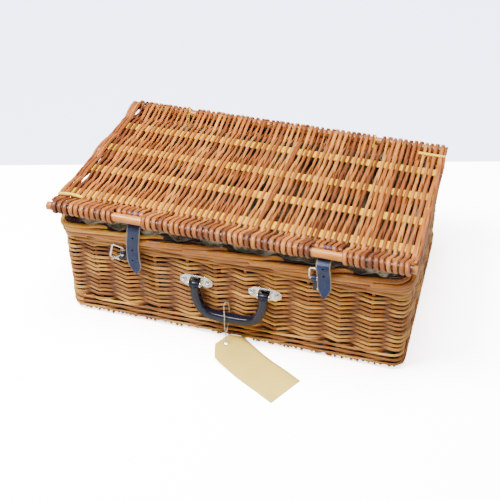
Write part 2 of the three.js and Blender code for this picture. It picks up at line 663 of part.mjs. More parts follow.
function gripPath() {
  const rise = PIVOT_Z - GRIP_Z;
  const half = [
    [PIVOT_SPAN, PIVOT_Z - 2],
    [PIVOT_SPAN - 0.6, PIVOT_Z - 0.28 * rise],
    [PIVOT_SPAN - 3.2, PIVOT_Z - 0.55 * rise],
    [PIVOT_SPAN - 9, GRIP_Z + 0.2 * rise],
    [PIVOT_SPAN - 19, GRIP_Z + 0.05 * rise],
    [PIVOT_SPAN - 34, GRIP_Z],
  ];
  const lean = (z) => PIVOT_Y + ((GRIP_Y - PIVOT_Y) * (PIVOT_Z - z)) / rise;
  const right = half.map(([x, z]) => vec(HANDLE_X + x, lean(z), z));
  const left = half.map(([x, z]) => vec(HANDLE_X - x, lean(z), z));
  return new THREE.CatmullRomCurve3([...left, ...right.reverse()]);
}

function addHandle() {
  HANDLE_PIVOTS.forEach((x, i) => {
    const side = ["left", "right"][i];
    add(side + "_handle_bracket", bracket(x), NICKEL);
    add(side + "_handle_pin", pivotPin(x), NICKEL);
  });
  SCREW_XS.forEach((x, i) => add("handle_screw_" + (i + 1), screw(x), NICKEL));
  const inside = -WALL_Y + WALL_THICK;
  const ends = PIVOT_SPAN + SCREW_SPAN + 7;
  const backing = block(
    vec(HANDLE_X - ends, inside + 0.3, PIVOT_Z - 6),
    vec(HANDLE_X + ends, inside + 1.3, PIVOT_Z + 6),
  );
  const bores = SCREW_XS.map((x) => barY(x, inside, inside + 2, PIVOT_Z, SCREW_RADIUS + 0.4, 10));
  add("handle_backing", cut(backing, ...bores), NICKEL);
  const section = roundedRect(GRIP_THICK, GRIP_DEPTH, 5);
  const bail = new THREE.ExtrudeGeometry(section, { steps: 18, extrudePath: gripPath(), curveSegments: 2 });
  const half = BARREL_LENGTH / 2;
  const barrels = HANDLE_PIVOTS.map((x) => barX(x - half, x + half, PIVOT_Y, PIVOT_Z, BARREL_RADIUS, 14));
  const bore = PIN_RADIUS + PIN_PLAY;
  const pinBores = HANDLE_PIVOTS.map((x) => barX(x - 12, x + 12, PIVOT_Y, PIVOT_Z, bore, 12));
  add("handle_grip", cut(join(bail, ...barrels), ...pinBores), NAVY_PLASTIC);
}

// ---- ticket: a card that lies on the floor and curves up to its string ----
// In the card's own frame it runs from its far end at the origin to its eyelet along -X.
function cardHeight(s) {
  const past = Math.max(0, (s - TAG_FLAT) / (TAG_LENGTH - TAG_FLAT));
  return TAG_LIFT * past * past;
}

function addTicket() {
  const group = new THREE.Group();
  group.position.copy(TAG_FAR);
  group.rotation.z = TAG_HEADING;
  hamper.add(group);
  const places = [0, TAG_FLAT, 72, 84, 96, 108, 117, TAG_LENGTH];
  const under = places.map((s) => [-s, cardHeight(s)]);
  const over = places.map((s) => [-s, cardHeight(s) + TAG_THICK]).reverse();
  const bent = alongY(polygon([...under, ...over]), -TAG_WIDTH / 2, TAG_WIDTH / 2);
  const half = TAG_WIDTH / 2;
  const neck = half - TAG_CLIP;
  const outline = polygon([
    [1, -half - 1],
    [1, half + 1],
    [-TAG_LENGTH + TAG_CLIP, half + 1],
    [-TAG_LENGTH - 1, neck],
    [-TAG_LENGTH - 1, -neck],
    [-TAG_LENGTH + TAG_CLIP, -half - 1],
  ]);
  const eye = -TAG_LENGTH + EYELET_INSET;
  const card = common(bent, alongZ(outline, -1, TAG_LIFT + 5));
  add("ticket", cut(card, barZ(eye, 0, -1, TAG_LIFT + 5, 2.4, 10)), CARD, group);
}

// The string's route: out of the eyelet, up before the grip, over it in a slack bight that
// leans on the wall, down behind the grip and back to the eyelet.
const STRING_ROUTE = [
  [1.7, -177.6, 11.2],
  [1.6, -177.4, 16],
  [0.8, -176.8, 24],
  [-0.8, -175.4, 35],
  [-1.9, -173.4, 46],
  [-2.4, -171.2, 56],
  [-4, -167.5, 63],
  [-5.6, -162.8, 68.5],
  [-4.9, -157.6, 71],
  [-2.4, -154.2, 68],
  [-1, -153.7, 61],
  [-0.9, -153.7, 52],
  [-1, -153.8, 43],
  [-1, -155.4, 36.5],
  [-0.9, -160.5, 32],
  [-0.5, -167, 28],
  [-0.2, -173, 23],
  [-0.1, -176.8, 17],
  [-0.1, -177.6, 11.2],
];

function addString() {
  const path = new THREE.CatmullRomCurve3(STRING_ROUTE.map((point) => vec(...point)));
  const section = new THREE.Shape();
  section.absarc(0, 0, STRING_RADIUS, 0, 2 * Math.PI);
  const twine = new THREE.ExtrudeGeometry(section, { steps: 44, extrudePath: path, curveSegments: 4 });
  add("ticket_string", twine, TWINE);
}

addBase();
addWalls();
addCorners();
addWales();
addBorderAndHinges();
addLiner();
addLidWeave();
addLidSticks();
addLidRods();
STRAPS.forEach(addStrap);
addLeftBuckle();
addRightBuckle();
addHandle();
addTicket();
addString();

export default hamper;
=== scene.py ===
"""The willow picnic hamper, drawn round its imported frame: every weave is made of separate rods."""

import math

import bmesh
import bpy
import numpy as np
from mathutils import Matrix, Vector, noise


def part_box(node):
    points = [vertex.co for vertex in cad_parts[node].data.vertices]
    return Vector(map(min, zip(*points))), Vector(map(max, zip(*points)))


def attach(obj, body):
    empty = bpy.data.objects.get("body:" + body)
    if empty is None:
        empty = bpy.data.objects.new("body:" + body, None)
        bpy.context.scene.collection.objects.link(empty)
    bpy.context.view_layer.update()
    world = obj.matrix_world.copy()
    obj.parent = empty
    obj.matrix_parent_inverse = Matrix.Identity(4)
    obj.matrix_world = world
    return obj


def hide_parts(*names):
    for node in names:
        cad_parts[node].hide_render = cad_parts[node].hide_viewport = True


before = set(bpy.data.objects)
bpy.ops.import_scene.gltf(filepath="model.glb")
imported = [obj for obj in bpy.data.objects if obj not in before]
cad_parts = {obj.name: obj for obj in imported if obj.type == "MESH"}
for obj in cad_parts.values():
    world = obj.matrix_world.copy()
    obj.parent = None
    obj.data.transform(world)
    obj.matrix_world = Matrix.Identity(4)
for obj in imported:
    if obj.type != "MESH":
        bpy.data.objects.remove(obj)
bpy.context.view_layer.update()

MM = 0.001
chance = np.random.default_rng(7)
X, Y, Z = np.eye(3)


# ---- places, in millimetres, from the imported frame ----
def node_box(name):
    low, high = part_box(name)
    return np.array(low) / MM, np.array(high) / MM


def node_middle(name):
    low, high = node_box(name)
    return (low + high) / 2


BACK_STICK = node_middle("lid_back_stick")
FRONT_STICK = node_middle("lid_front_stick")
LID_SPAN = float(np.linalg.norm((FRONT_STICK - BACK_STICK)[1:]))
TILT = math.atan2(FRONT_STICK[2] - BACK_STICK[2], BACK_STICK[1] - FRONT_STICK[1])
TOWARDS_FRONT = np.array([0, -math.cos(TILT), math.sin(TILT)])
LID_UP = np.array([0, math.sin(TILT), math.cos(TILT)])
STICK_RADIUS = (node_box("lid_front_stick")[1][2] - node_box("lid_front_stick")[0][2]) / 2
LID_LEFT, LID_RIGHT = (box[0] for box in node_box("lid_weave"))
SLATS = [
    (BACK_STICK[1] - node_middle("lid_slat_%d" % i)[1]) / math.cos(TILT) for i in (1, 2, 3, 4)
]
NOTCHES = [
    (box[0][0], box[1][0]) for box in (node_box("left_notch_rod"), node_box("right_notch_rod"))
]
NOTCH_S = (BACK_STICK[1] - node_middle("left_notch_rod")[1]) / math.cos(TILT)
HINGES = [node_middle(name)[0] for name in ("hinge_ring_left", "hinge_ring_right")]

WALL_LOW, WALL_HIGH = node_box("front_wall_weave")
WALL_HALF_X = node_box("right_wall_weave")[1][0]
WALL_HALF_Y = -WALL_LOW[1]
WALL_THICK = WALL_HIGH[1] - WALL_LOW[1]
CORNER = WALL_HALF_X - WALL_HIGH[0]
WEAVE_BOTTOM, WEAVE_TOP = WALL_LOW[2], WALL_HIGH[2]
BORDER_LOW, BORDER_HIGH = node_box("border")
SEAT_FRONT, SEAT_TOP = 138, 168
LEFT_TILT = math.radians(14)
STAKE_FOOT, UPRIGHT_STEPS = 8, 14
LONG_STAKES = [-200, -156, -111, -62, -22, 22, 64.5, 111, 156, 200]
SHORT_STAKES = [-110, -66, -22, 22, 66, 110]


def lid_points(x, s, n):
    """Points in the lid's own frame: x across, s from the back stick to the front, n upwards."""
    x, s, n = np.broadcast_arrays(*(np.asarray(v, float) for v in (x, s, n)))
    base = np.array([0, BACK_STICK[1], BACK_STICK[2]])
    return base + x[:, None] * X + s[:, None] * TOWARDS_FRONT + n[:, None] * LID_UP


# ---- rods ----
def tube_faces(rings, sides, first=0):
    """The faces between the rings of a tube, and the two caps that close it."""
    index = first + np.arange(rings * sides).reshape(rings, sides)
    turned = np.roll(index, -1, axis=1)
    quads = np.stack([index[:-1], turned[:-1], turned[1:], index[1:]], -1).reshape(-1, 4)
    return quads.tolist(), [index[0][::-1].tolist(), index[-1].tolist()]


def across_line(points, across):
    """Two directions square to a line at each point: the one nearest to across, and the other."""
    along = np.gradient(points, axis=0)
    along /= np.linalg.norm(along, axis=1)[:, None] + 1e-9
    hint = np.broadcast_to(across, points.shape)
    side = hint - (hint * along).sum(1)[:, None] * along
    side /= np.linalg.norm(side, axis=1)[:, None] + 1e-9
    return side, np.cross(along, side)


class Rods:
    """Collects bent rods and makes one mesh of them, with each rod's grain and shade kept."""

    def __init__(self, sides=8):
        self.sides = sides
        self.verts, self.faces, self.grain, self.shade = [], [], [], []
        self.count = 0

    def add(self, points, wide, thick=None, across=Z, shade=None):
        """A rod along points, wide and thick its half sizes along across and square to it."""
        points = np.asarray(points, float)
        size = len(points)
        wide = np.broadcast_to(np.asarray(wide, float), size)
        thick = wide if thick is None else np.broadcast_to(np.asarray(thick, float), size)
        side, up = across_line(points, across)
        angle = np.arange(self.sides) * 2 * math.pi / self.sides
        ring = (
            points[:, None]
            + (wide[:, None] * np.cos(angle))[..., None] * side[:, None]
            + (thick[:, None] * np.sin(angle))[..., None] * up[:, None]
        )
        self.verts.append(ring.reshape(-1, 3))
        self.faces.append(tube_faces(size, self.sides, self.count))
        run = np.concatenate([[0], np.cumsum(np.linalg.norm(np.diff(points, axis=0), axis=1))])
        key = chance.random() * 400
        grain = np.broadcast_arrays(run[:, None] + key, np.cos(angle) * 2, np.sin(angle) * 2 + key)
        self.grain.append(np.stack(grain, -1).reshape(-1, 3))
        tone = chance.random() if shade is None else shade
        self.shade.append(np.repeat(np.broadcast_to(tone, size), self.sides))
        self.count += size * self.sides

    def build(self, name, material, body, slot, *nodes):
        verts = np.concatenate(self.verts) * MM
        quads = [q for block, _ in self.faces for q in block]
        caps = [c for _, pair in self.faces for c in pair]
        mesh = bpy.data.meshes.new(name)
        mesh.from_pydata(verts.tolist(), [], quads + caps)
        keep_values(mesh, "grain", "FLOAT_VECTOR", np.concatenate(self.grain))
        keep_values(mesh, "shade", "FLOAT", np.concatenate(self.shade))
        return place(name, mesh, material, body, slot, *nodes)


def keep_values(mesh, name, kind, values):
    layer = mesh.attributes.new(name, kind, "POINT")
    field = "vector" if kind == "FLOAT_VECTOR" else "value"
    layer.data.foreach_set(field, np.asarray(values, np.float32).ravel())


def place(name, mesh, material, body, slot, *nodes):
    """Puts a finished mesh in the scene, on its body, in place of the named CAD nodes."""
    mesh.materials.append(material)
    mesh.shade_smooth()
    piece = bpy.data.objects.new(name, mesh)
    bpy.context.collection.objects.link(piece)
    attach(piece, body)
    if nodes:
        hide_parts(*nodes)
    return piece


def ease(t):
    t = np.clip(t, 0, 1)
    return t * t * (3 - 2 * t)


def wander(count, size, step):
    """A smooth random line of count values, within about size, turning every step values."""
    knots = chance.normal(0, size, max(2, count // step + 2))
    return np.interp(np.linspace(0, len(knots) - 1, count), np.arange(len(knots)), knots)


# ---- materials ----
class Shader:
    """A Principled material with a few words for the nodes used here."""

    def __init__(self, name, roughness=0.5, **values):
        self.material = bpy.data.materials.new(name)
        self.material.use_nodes = True
        self.tree = self.material.node_tree
        self.out = self.tree.nodes["Principled BSDF"]
        self.out.inputs["Roughness"].default_value = roughness
        for key, value in values.items():
            self.out.inputs[key.replace("_", " ")].default_value = value

    def node(self, kind, inputs=None, **values):
        made = self.tree.nodes.new("ShaderNode" + kind)
        for key, value in values.items():
            setattr(made, key, value)
        for key, value in (inputs or {}).items():
            self.feed(made.inputs[key], value)
        return made

    def feed(self, socket, value):
        if isinstance(value, bpy.types.NodeSocket):
            self.tree.links.new(value, socket)
        else:
            socket.default_value = value

    def set(self, name, value):
        self.feed(self.out.inputs[name], value)

    def attribute(self, name, field="Fac"):
        return self.node("Attribute", attribute_name=name).outputs[field]

    def place(self):
        return self.node("TexCoord").outputs["Object"]

    def stretch(self, vector, scale):
        return self.node("Mapping", {"Vector": vector, "Scale": scale}).outputs["Vector"]

    def noise(self, vector, scale, detail=3, roughness=0.5):
        sizes = {"Vector": vector, "Scale": scale, "Detail": detail, "Roughness": roughness}
        return self.node("TexNoise", sizes).outputs["Fac"]

    def ramp(self, value, *stops):
        made = self.node("ValToRGB", {"Fac": value})
        points = made.color_ramp.elements
        while len(points) < len(stops):
            points.new(0.5)
        for point, (where, color) in zip(points, stops):
            point.position = where
            point.color = (*color, 1) if isinstance(color, tuple) else (color, color, color, 1)
        return made.outputs["Color"]

    def mix(self, factor, a, b, blend="MIX"):
        made = self.node("Mix", data_type="RGBA", blend_type=blend)
        color = [s for s in made.inputs if s.type == "RGBA"]
        self.feed(made.inputs[0], factor)
        self.feed(color[0], a)
        self.feed(color[1], b)
        return [s for s in made.outputs if s.type == "RGBA"][0]

    def spread(self, value, low, high, from_low=0.0, from_high=1.0):
        sizes = {"Value": value, "From Min": from_low, "From Max": from_high, "To Min": low, "To Max": high}
        return self.node("MapRange", sizes).outputs["Result"]

    def bump(self, height, distance, strength=1.0, under=None):
        sizes = {"Height": height, "Distance": distance, "Strength": strength}
        if under is not None:
            sizes["Normal"] = under
        return self.node("Bump", sizes).outputs["Normal"]


def willow(name, stops, roughness=(0.38, 0.6), coat=0.12, streak=0.45):
    """Willow rods: a colour for each rod, long dark streaks, pale scuffs and fine grain."""
    shader = Shader(name, Coat_Weight=coat, Coat_Roughness=0.3)
    grain = shader.attribute("grain", "Vector")
    tone = shader.ramp(shader.attribute("shade"), *stops)
    long_streaks = shader.noise(shader.stretch(grain, (0.035, 0.8, 0.8)), 1.0, 4, 0.6)
    fine = shader.noise(shader.stretch(grain, (0.25, 2.2, 2.2)), 1.0, 3, 0.6)
    blotch = shader.noise(shader.stretch(grain, (0.018, 0.12, 0.12)), 1.0, 2)
    dark = shader.ramp(
        long_streaks, (0.3, (0.45, 0.36, 0.30)), (0.55, (1.0, 1.0, 1.0)), (0.8, (1.2, 1.16, 1.08))
    )
    color = shader.mix(streak * 1.6, tone, dark, "MULTIPLY")
    patch = shader.ramp(blotch, (0.32, (0.72, 0.58, 0.50)), (0.6, (1.06, 1.03, 1.0)))
    color = shader.mix(0.7, color, patch, "MULTIPLY")
    specks = shader.ramp(fine, (0.28, (0.45, 0.35, 0.28)), (0.42, (1.0, 1.0, 1.0)))
    shader.set("Base Color", shader.mix(0.6, color, specks, "MULTIPLY"))
    shader.set("Roughness", shader.spread(long_streaks, *roughness))
    under = shader.bump(long_streaks, 0.0006, 0.5)
    shader.set("Normal", shader.bump(fine, 0.00025, 0.5, under))
    return shader.material


def leather(name, light, dark, edge):
    """Dyed leather with a pebbled grain and raw cut edges where the mesh says edge."""
    shader = Shader(name, 0.42, Coat_Weight=0.15, Coat_Roughness=0.35, Specular_IOR_Level=0.3)
    where = shader.place()
    pebble = shader.node("TexVoronoi", {"Vector": where, "Scale": 900.0}).outputs["Distance"]
    wear = shader.noise(where, 90.0, 5, 0.65)
    color = shader.mix(shader.ramp(wear, (0.35, 0.0), (0.68, 1.0)), dark, light)
    fibres = shader.noise(where, 1500.0, 3)
    raw = shader.mix(fibres, edge, (edge[0] * 0.6, edge[1] * 0.58, edge[2] * 0.55, 1))
    shader.set("Base Color", shader.mix(shader.attribute("edge"), color, raw))
    shader.set("Roughness", shader.spread(wear, 0.34, 0.58))
    shader.set("Normal", shader.bump(pebble, 0.00025, 0.35, shader.bump(wear, 0.0006, 0.25)))
    return shader.material


def nickel():
    """Bright nickel plate with fine scratches, dull patches and warm tarnish."""
    shader = Shader("nickel_plate", 0.22, Metallic=1.0)
    where = shader.place()
    patches = shader.noise(where, 160.0, 4, 0.6)
    scratch = shader.noise(shader.stretch(where, (300.0, 2400.0, 2400.0)), 1.0, 2)
    shader.set("Base Color", shader.ramp(patches, (0.3, (0.55, 0.50, 0.42)), (0.55, (0.84, 0.82, 0.77))))
    shader.set("Roughness", shader.spread(patches, 0.34, 0.14, 0.3, 0.7))
    shader.set("Normal", shader.bump(scratch, 0.00008, 0.3))
    return shader.material


def plastic():
    """Dark navy moulding: a polished inner face and a finely pitted outer one."""
    shader = Shader("navy_moulding", 0.3, Coat_Weight=0.1, Coat_Roughness=0.2, Specular_IOR_Level=0.35)
    where = shader.place()
    pits = shader.noise(where, 2200.0, 2)
    cloud = shader.noise(where, 60.0, 4)
    polish = shader.attribute("polish")
    matt = shader.mix(cloud, (0.012, 0.013, 0.018, 1), (0.018, 0.019, 0.025, 1))
    shiny = shader.mix(cloud, (0.005, 0.006, 0.016, 1), (0.009, 0.010, 0.026, 1))
    shader.set("Base Color", shader.mix(polish, matt, shiny))
    shader.set("Roughness", shader.spread(polish, 0.55, 0.2))
    shader.set("Normal", shader.bump(pits, 0.0001, 0.35))
    return shader.material


def cloth():
    """Grey-green cotton, faded and mottled in soft patches, with a fine plain weave."""
    shader = Shader("liner_cotton", 0.9, Sheen_Weight=0.25, Sheen_Roughness=0.6)
    where = shader.place()
    print_patch = shader.noise(where, 34.0, 2, 0.4)
    leaf = shader.noise(where, 75.0, 1, 0.3)
    base = shader.ramp(
        print_patch, (0.38, (0.050, 0.050, 0.034)), (0.52, (0.16, 0.155, 0.105)),
        (0.64, (0.42, 0.385, 0.265)),
    )
    tint = shader.ramp(leaf, (0.45, (0.8, 0.84, 0.8)), (0.6, (1.15, 1.1, 0.95)))
    color = shader.mix(0.8, base, tint, "MULTIPLY")
    warp = shader.node("TexWave", {"Vector": where, "Scale": 420.0}, bands_direction="X").outputs["Fac"]
    weft = shader.node("TexWave", {"Vector": where, "Scale": 420.0}, bands_direction="Z").outputs["Fac"]
    threads = shader.node("Math", {0: warp, 1: weft}, operation="ADD").outputs[0]
    gaps = shader.ramp(threads, (0.4, 0.4), (1.0, 1.0))
    shader.set("Base Color", shader.mix(0.18, color, gaps, "MULTIPLY"))
    shader.set("Normal", shader.bump(threads, 0.0002, 0.4, shader.bump(print_patch, 0.002, 0.3)))
    return shader.material


def card():
    """Manila card: warm buff with faint fibres and soft creases."""
    shader = Shader("manila_card", 0.75)
    where = shader.place()
    fibres = shader.noise(shader.stretch(where, (500.0, 1400.0, 800.0)), 1.0, 5, 0.7)
    cloud = shader.noise(where, 28.0, 3)
    color = shader.ramp(fibres, (0.3, (0.86, 0.53, 0.08)), (0.6, (1.0, 0.77, 0.15)))
    worn = shader.ramp(cloud, (0.35, (0.86, 0.84, 0.8)), (0.65, (1.0, 1.0, 1.0)))
    shader.set("Base Color", shader.mix(0.5, color, worn, "MULTIPLY"))
    shader.set("Normal", shader.bump(fibres, 0.0001, 0.3, shader.bump(cloud, 0.001, 0.2)))
    return shader.material


def twine():
    """Thin off-white string with a two-ply twist."""
    shader = Shader("twine", 0.9, Sheen_Weight=0.2)
    grain = shader.attribute("grain", "Vector")
    twist = shader.node("TexWave", {"Vector": grain, "Scale": 1.1}).outputs["Fac"]
    shader.set("Base Color", shader.ramp(twist, (0.1, (0.50, 0.36, 0.17)), (0.7, (0.95, 0.80, 0.50))))
    shader.set("Normal", shader.bump(twist, 0.0004, 0.6))
    return shader.material


WALL = willow(
    "buff_willow",
    [
        (0.0, (0.020, 0.007, 0.003)), (0.25, (0.15, 0.046, 0.007)),
        (0.6, (0.50, 0.19, 0.024)), (1.0, (0.92, 0.50, 0.11)),
    ],
)
BORDER_WILLOW = willow(
    "border_willow",
    [
        (0.0, (0.03, 0.009, 0.003)), (0.3, (0.40, 0.125, 0.012)),
        (0.6, (0.62, 0.235, 0.020)), (1.0, (0.92, 0.46, 0.055)),
    ],
    roughness=(0.30, 0.5), coat=0.15, streak=0.45,
)
LID = willow(
    "brown_willow",
    [
        (0.0, (0.20, 0.055, 0.012)), (0.3, (0.38, 0.112, 0.021)),
        (0.65, (0.57, 0.192, 0.035)), (1.0, (0.78, 0.345, 0.072)),
    ],
    roughness=(0.32, 0.52), coat=0.16, streak=0.4,
)
LATH = willow(
    "pale_lath",
    [(0.0, (0.92, 0.53, 0.022)), (1.0, (1.0, 0.70, 0.045))],
    roughness=(0.4, 0.6), coat=0.05, streak=0.15,
)
# The darkest stop is painted shade, used on the front stick where the lid's rods wrap it.
STICK_WOOD = willow(
    "golden_stick",
    [(0.0, (0.09, 0.028, 0.006)), (0.5, (0.50, 0.17, 0.028)), (1.0, (0.80, 0.30, 0.032))],
    roughness=(0.25, 0.42), coat=0.25, streak=0.3,
)
STRAP_LEATHER = leather(
    "blue_leather", (0.022, 0.038, 0.110, 1), (0.007, 0.012, 0.045, 1), (0.70, 0.52, 0.30, 1)
)
# A darker copy of the strap leather for the tabs: painted shade, as they lie behind and under the straps.
SHADED_TAB_LEATHER = leather(
    "tab_leather_in_shade", (0.014, 0.023, 0.070, 1), (0.005, 0.008, 0.028, 1), (0.60, 0.45, 0.28, 1)
)
NICKEL = nickel()
PLASTIC = plastic()
CLOTH = cloth()
CARD = card()
TWINE = twine()


# ---- lid ----
def weaver_height(s, signs, lift):
    """Height of a lid weaver that passes over or under each slat in turn."""
    places = np.array([0.0, *SLATS, LID_SPAN])
    heights = np.array(signs) * np.array([STICK_RADIUS + 2, *[lift] * len(SLATS), STICK_RADIUS + 2])
    after = np.clip(np.searchsorted(places, s, "right"), 1, len(places) - 1)
    before = after - 1
    t = (s - places[before]) / (places[after] - places[before])
    return heights[before] + (heights[after] - heights[before]) * ease((t - 0.12) / 0.76)


def round_stick(at_s, radius, start, stop, steps):
    """Points round a stick from angle start to stop: 90 is the top, 0 the far side."""
    angle = np.radians(np.linspace(start, stop, steps))
    return at_s + radius * np.cos(angle), radius * np.sin(angle)


LID_RODS = 61
EDGE_STEPS, STICK_STEPS = 90, 160
OVER_FIRST = np.array([-1, 1, -1, 1, -1, 1])
ALONG_STEPS, FRONT_STEPS, BACK_STEPS = 46, 11, 8


def wrapped(over, under, turn_s, ring, back_ring):
    """A lid rod's path in (x, s, n): over, round the front, back under, and round the back stick."""
    s_turn, n_turn = round_stick(turn_s, ring, 84, -84, FRONT_STEPS)
    x_turn = np.linspace(over[0, -1], under[0, -1], FRONT_STEPS)
    path = np.hstack([over, [x_turn, s_turn, n_turn], under[:, ::-1]])
    if not back_ring:
        return path
    s_back, n_back = round_stick(0, -back_ring, 84, -60, BACK_STEPS)
    start = [np.full(BACK_STEPS, path[0, 0]), s_back[::-1], n_back[::-1]]
    end = [np.full(BACK_STEPS, path[0, -1]), s_back[::-1], -n_back[::-1]]
    return np.hstack([start, path, end])


def lid_sides(x, s, turn_s, thick):
    """The upper and lower runs of a lid rod at x, each in (x, s, n)."""
    skew = chance.uniform(4.5, 6.5)
    slide = ease((turn_s - s) / 17.0)
    x_over = x - 2 + skew * slide + wander(ALONG_STEPS, 0.42, 9)
    x_under = x + 2.2 - 0.6 * (1 - slide) + wander(ALONG_STEPS, 0.55, 9)
    n_over = weaver_height(s, OVER_FIRST, 1.0 + thick)
    n_under = weaver_height(s, -OVER_FIRST, 1.0 + thick)
    return np.array([x_over, s, n_over]), np.array([x_under, s, n_under])


def lid_pair(rods, x, pitch):
    """One rod that comes over the front stick, turns round it and goes back underneath."""
    tied = min(abs(hinge - x) for hinge in HINGES) < 4.5
    notch = any(left - 1 < x < right + 1 for left, right in NOTCHES)
    turn_s, core = (NOTCH_S, 2.0) if notch else (LID_SPAN, STICK_RADIUS)
    thick = chance.uniform(1.5, 2.0)
    flat = chance.uniform(1.2, 1.6)
    ring = core + thick
    s = np.linspace(24.0 if tied else 4.0, turn_s - 1.5, ALONG_STEPS)
    over, under = lid_sides(x, s, turn_s, thick)
    if notch:
        pull = ease((s - (turn_s - 22)) / 20)
        over[2] = over[2] * (1 - pull) + ring * pull
        under[2] = under[2] * (1 - pull) - ring * pull
    x_all, s_all, n_all = wrapped(over, under, turn_s, ring, 0 if tied else STICK_RADIUS + thick)
    length = np.linspace(0, 1, len(s_all))
    if chance.random() < 0.5:
        length = 1 - length
    taper = 1.12 - 0.34 * length
    at_turn = np.exp(-(((s_all - turn_s) / 9.0) ** 2))
    wide_turn = 3.4 if notch else pitch / 2 * 0.84
    wide = thick * flat * taper * (1 - at_turn) + wide_turn * at_turn
    shade = np.clip(chance.beta(1.4, 1.4) + 0.12 * (0.5 - length) - 0.3 * at_turn, 0, 1)
    rods.add(lid_points(x_all, s_all, n_all), wide, thick * (0.8 + 0.2 * taper), X, shade)


def make_lid_weave():
    rods = Rods(8)
    pitch = (LID_RIGHT - LID_LEFT - 6) / LID_RODS
    for i in range(LID_RODS):
        lid_pair(rods, LID_LEFT + 3 + (i + 0.5) * pitch, pitch)
    rods.build("lid_rods", LID, "lid", "lid_willow", "lid_weave")


def make_lid_edges():
    """Rods along the lid's two side edges, bulging between the slats, which hold them."""
    s = np.linspace(2, LID_SPAN - 4, EDGE_STEPS)
    edges = (
        ("lid_left_edge", LID_LEFT, -1, (-6.8, -4.9, -3.0, -1.2, 0.3)),
        ("lid_right_edge", LID_RIGHT, 1, (-3.6, -0.6, 1.2)),
    )
    for name, x, side, insets in edges:
        rods = Rods(10)
        for k, inset in enumerate(insets):
            signs = [(-1) ** (i + k) for i in range(6)]
            swell = (0.6 + 0.3 * k) * np.abs(np.sin(np.pi * s / 66 + k))
            bulge = inset + swell + wander(EDGE_STEPS, 0.35, 15)
            height = np.maximum(weaver_height(s, signs, 2.8) * 0.9, -4.2)
            shade = 0.1 + 0.8 * chance.random()
            points = lid_points(x + side * bulge, s, height)
            rods.add(points, chance.uniform(1.6, 2.1), across=X, shade=shade)
        rods.build(name + "_rods", LID, "lid", "lid_willow", name)


def make_lid_sticks():
    """The front stick, painted dark where the lid's rods wrap it as shade between the wraps, and the plain
    back stick.
    """
    for name, s in (("lid_front_stick", LID_SPAN), ("lid_back_stick", 0.0)):
        rods = Rods(20)
        low, high = node_box(name)
        x = np.linspace(low[0], high[0], STICK_STEPS)
        radius = STICK_RADIUS + wander(STICK_STEPS, 0.12, 16)
        radius[[0, -1]] *= 0.86
        radius[[1, -2]] *= 0.985
        x[1], x[-2] = x[0] + 0.8, x[-1] - 0.8
        bare = np.minimum(x - LID_LEFT, LID_RIGHT - x) < 1.5
        for left, right in NOTCHES if s else []:
            bare |= (x > left - 3) & (x < right + 3)
        # The front stick takes its wood's darkest stop except at its bare places: painted shade between the
        # wraps.
        shade = 0.85 * bare if s else 0.5
        rods.add(lid_points(x, s, wander(STICK_STEPS, 0.15, 32)), radius, across=Y, shade=shade)
        rods.build(name + "_peeled", STICK_WOOD, "lid", "pale_willow", name)


def make_lid_small_rods():
    """The short rods behind the front stick's two bare places, and the two bent corner pegs."""
    for name, ends in (("left_notch_rod", NOTCHES[0]), ("right_notch_rod", NOTCHES[1])):
        rods = Rods(10)
        rods.add(lid_points(np.linspace(ends[0], ends[1], 12), NOTCH_S, 0), 2.0, across=Y, shade=0.5)
        rods.build(name + "_willow", LID, "lid", "lid_willow", name)
    for name, bend in (("left_corner_peg", -1.5), ("right_corner_peg", 2.0)):
        low, high = node_box(name)
        s = (BACK_STICK[1] - node_middle(name)[1]) / math.cos(TILT)
        x = np.linspace(low[0], high[0], 24)
        t = np.linspace(-1, 1, 24)
        rods = Rods(10)
        height = 5.9 + 0.8 * (1 - t * t)
        rods.add(lid_points(x, s + bend * (1 - t * t), height), 2.3 - 0.3 * t, across=Y, shade=0.85)
        rods.build(name + "_rod", LATH, "lid", "pale_willow", name)


# ---- the line round the walls ----
class Round:
    """A rounded rectangle measured along its length, from the left end of the front wall."""

    def __init__(self, half_x, half_y, corner):
        self.half_x, self.half_y, self.corner = half_x, half_y, corner
        self.long, self.short = 2 * (half_x - corner), 2 * (half_y - corner)
        self.arc = math.pi / 2 * corner
        self.length = 2 * (self.long + self.short) + 4 * self.arc
        self.half_length = self.long + self.arc + self.short + self.arc

    def at(self, run, out=0.0, z=0.0):
        """Points at run along the line, moved out from it, at height z."""
        run = np.mod(np.asarray(run, float), self.length)
        half = (run >= self.half_length).astype(float)
        u = run - half * self.half_length
        bend, side = self.long + self.arc, self.long + self.arc + self.short
        parts = [u < self.long, u < bend, u < side]
        quarter = math.pi / 2
        x = np.select(parts, [u - self.long / 2, self.long / 2, self.long / 2], self.long / 2)
        y = np.select(parts[1:], [-self.short / 2, u - bend - self.short / 2], self.short / 2)
        turn = np.select(
            parts,
            [0 * u, (u - self.long) / self.arc * quarter, 0 * u + quarter],
            quarter + (u - side) / self.arc * quarter,
        )
        reach = self.corner + out
        x = x + reach * np.cos(turn - quarter)
        y = y + reach * np.sin(turn - quarter)
        z = np.broadcast_to(np.asarray(z, float), x.shape)
        sign = 1 - 2 * half
        return np.stack([x * sign, y * sign, z], -1)

    def stakes(self):
        """How far along each stake stands: those of the four walls and one at each corner."""
        front = [x + self.long / 2 for x in LONG_STAKES]
        side = [y + self.short / 2 + self.long + self.arc for y in SHORT_STAKES]
        half = front + [self.long + self.arc / 2] + side + [self.half_length - self.arc / 2]
        return np.array(half + [self.half_length + u for u in half])


MIDLINE = Round(WALL_HALF_X - WALL_THICK / 2, WALL_HALF_Y - WALL_THICK / 2, CORNER - WALL_THICK / 2)
STAKES = MIDLINE.stakes()


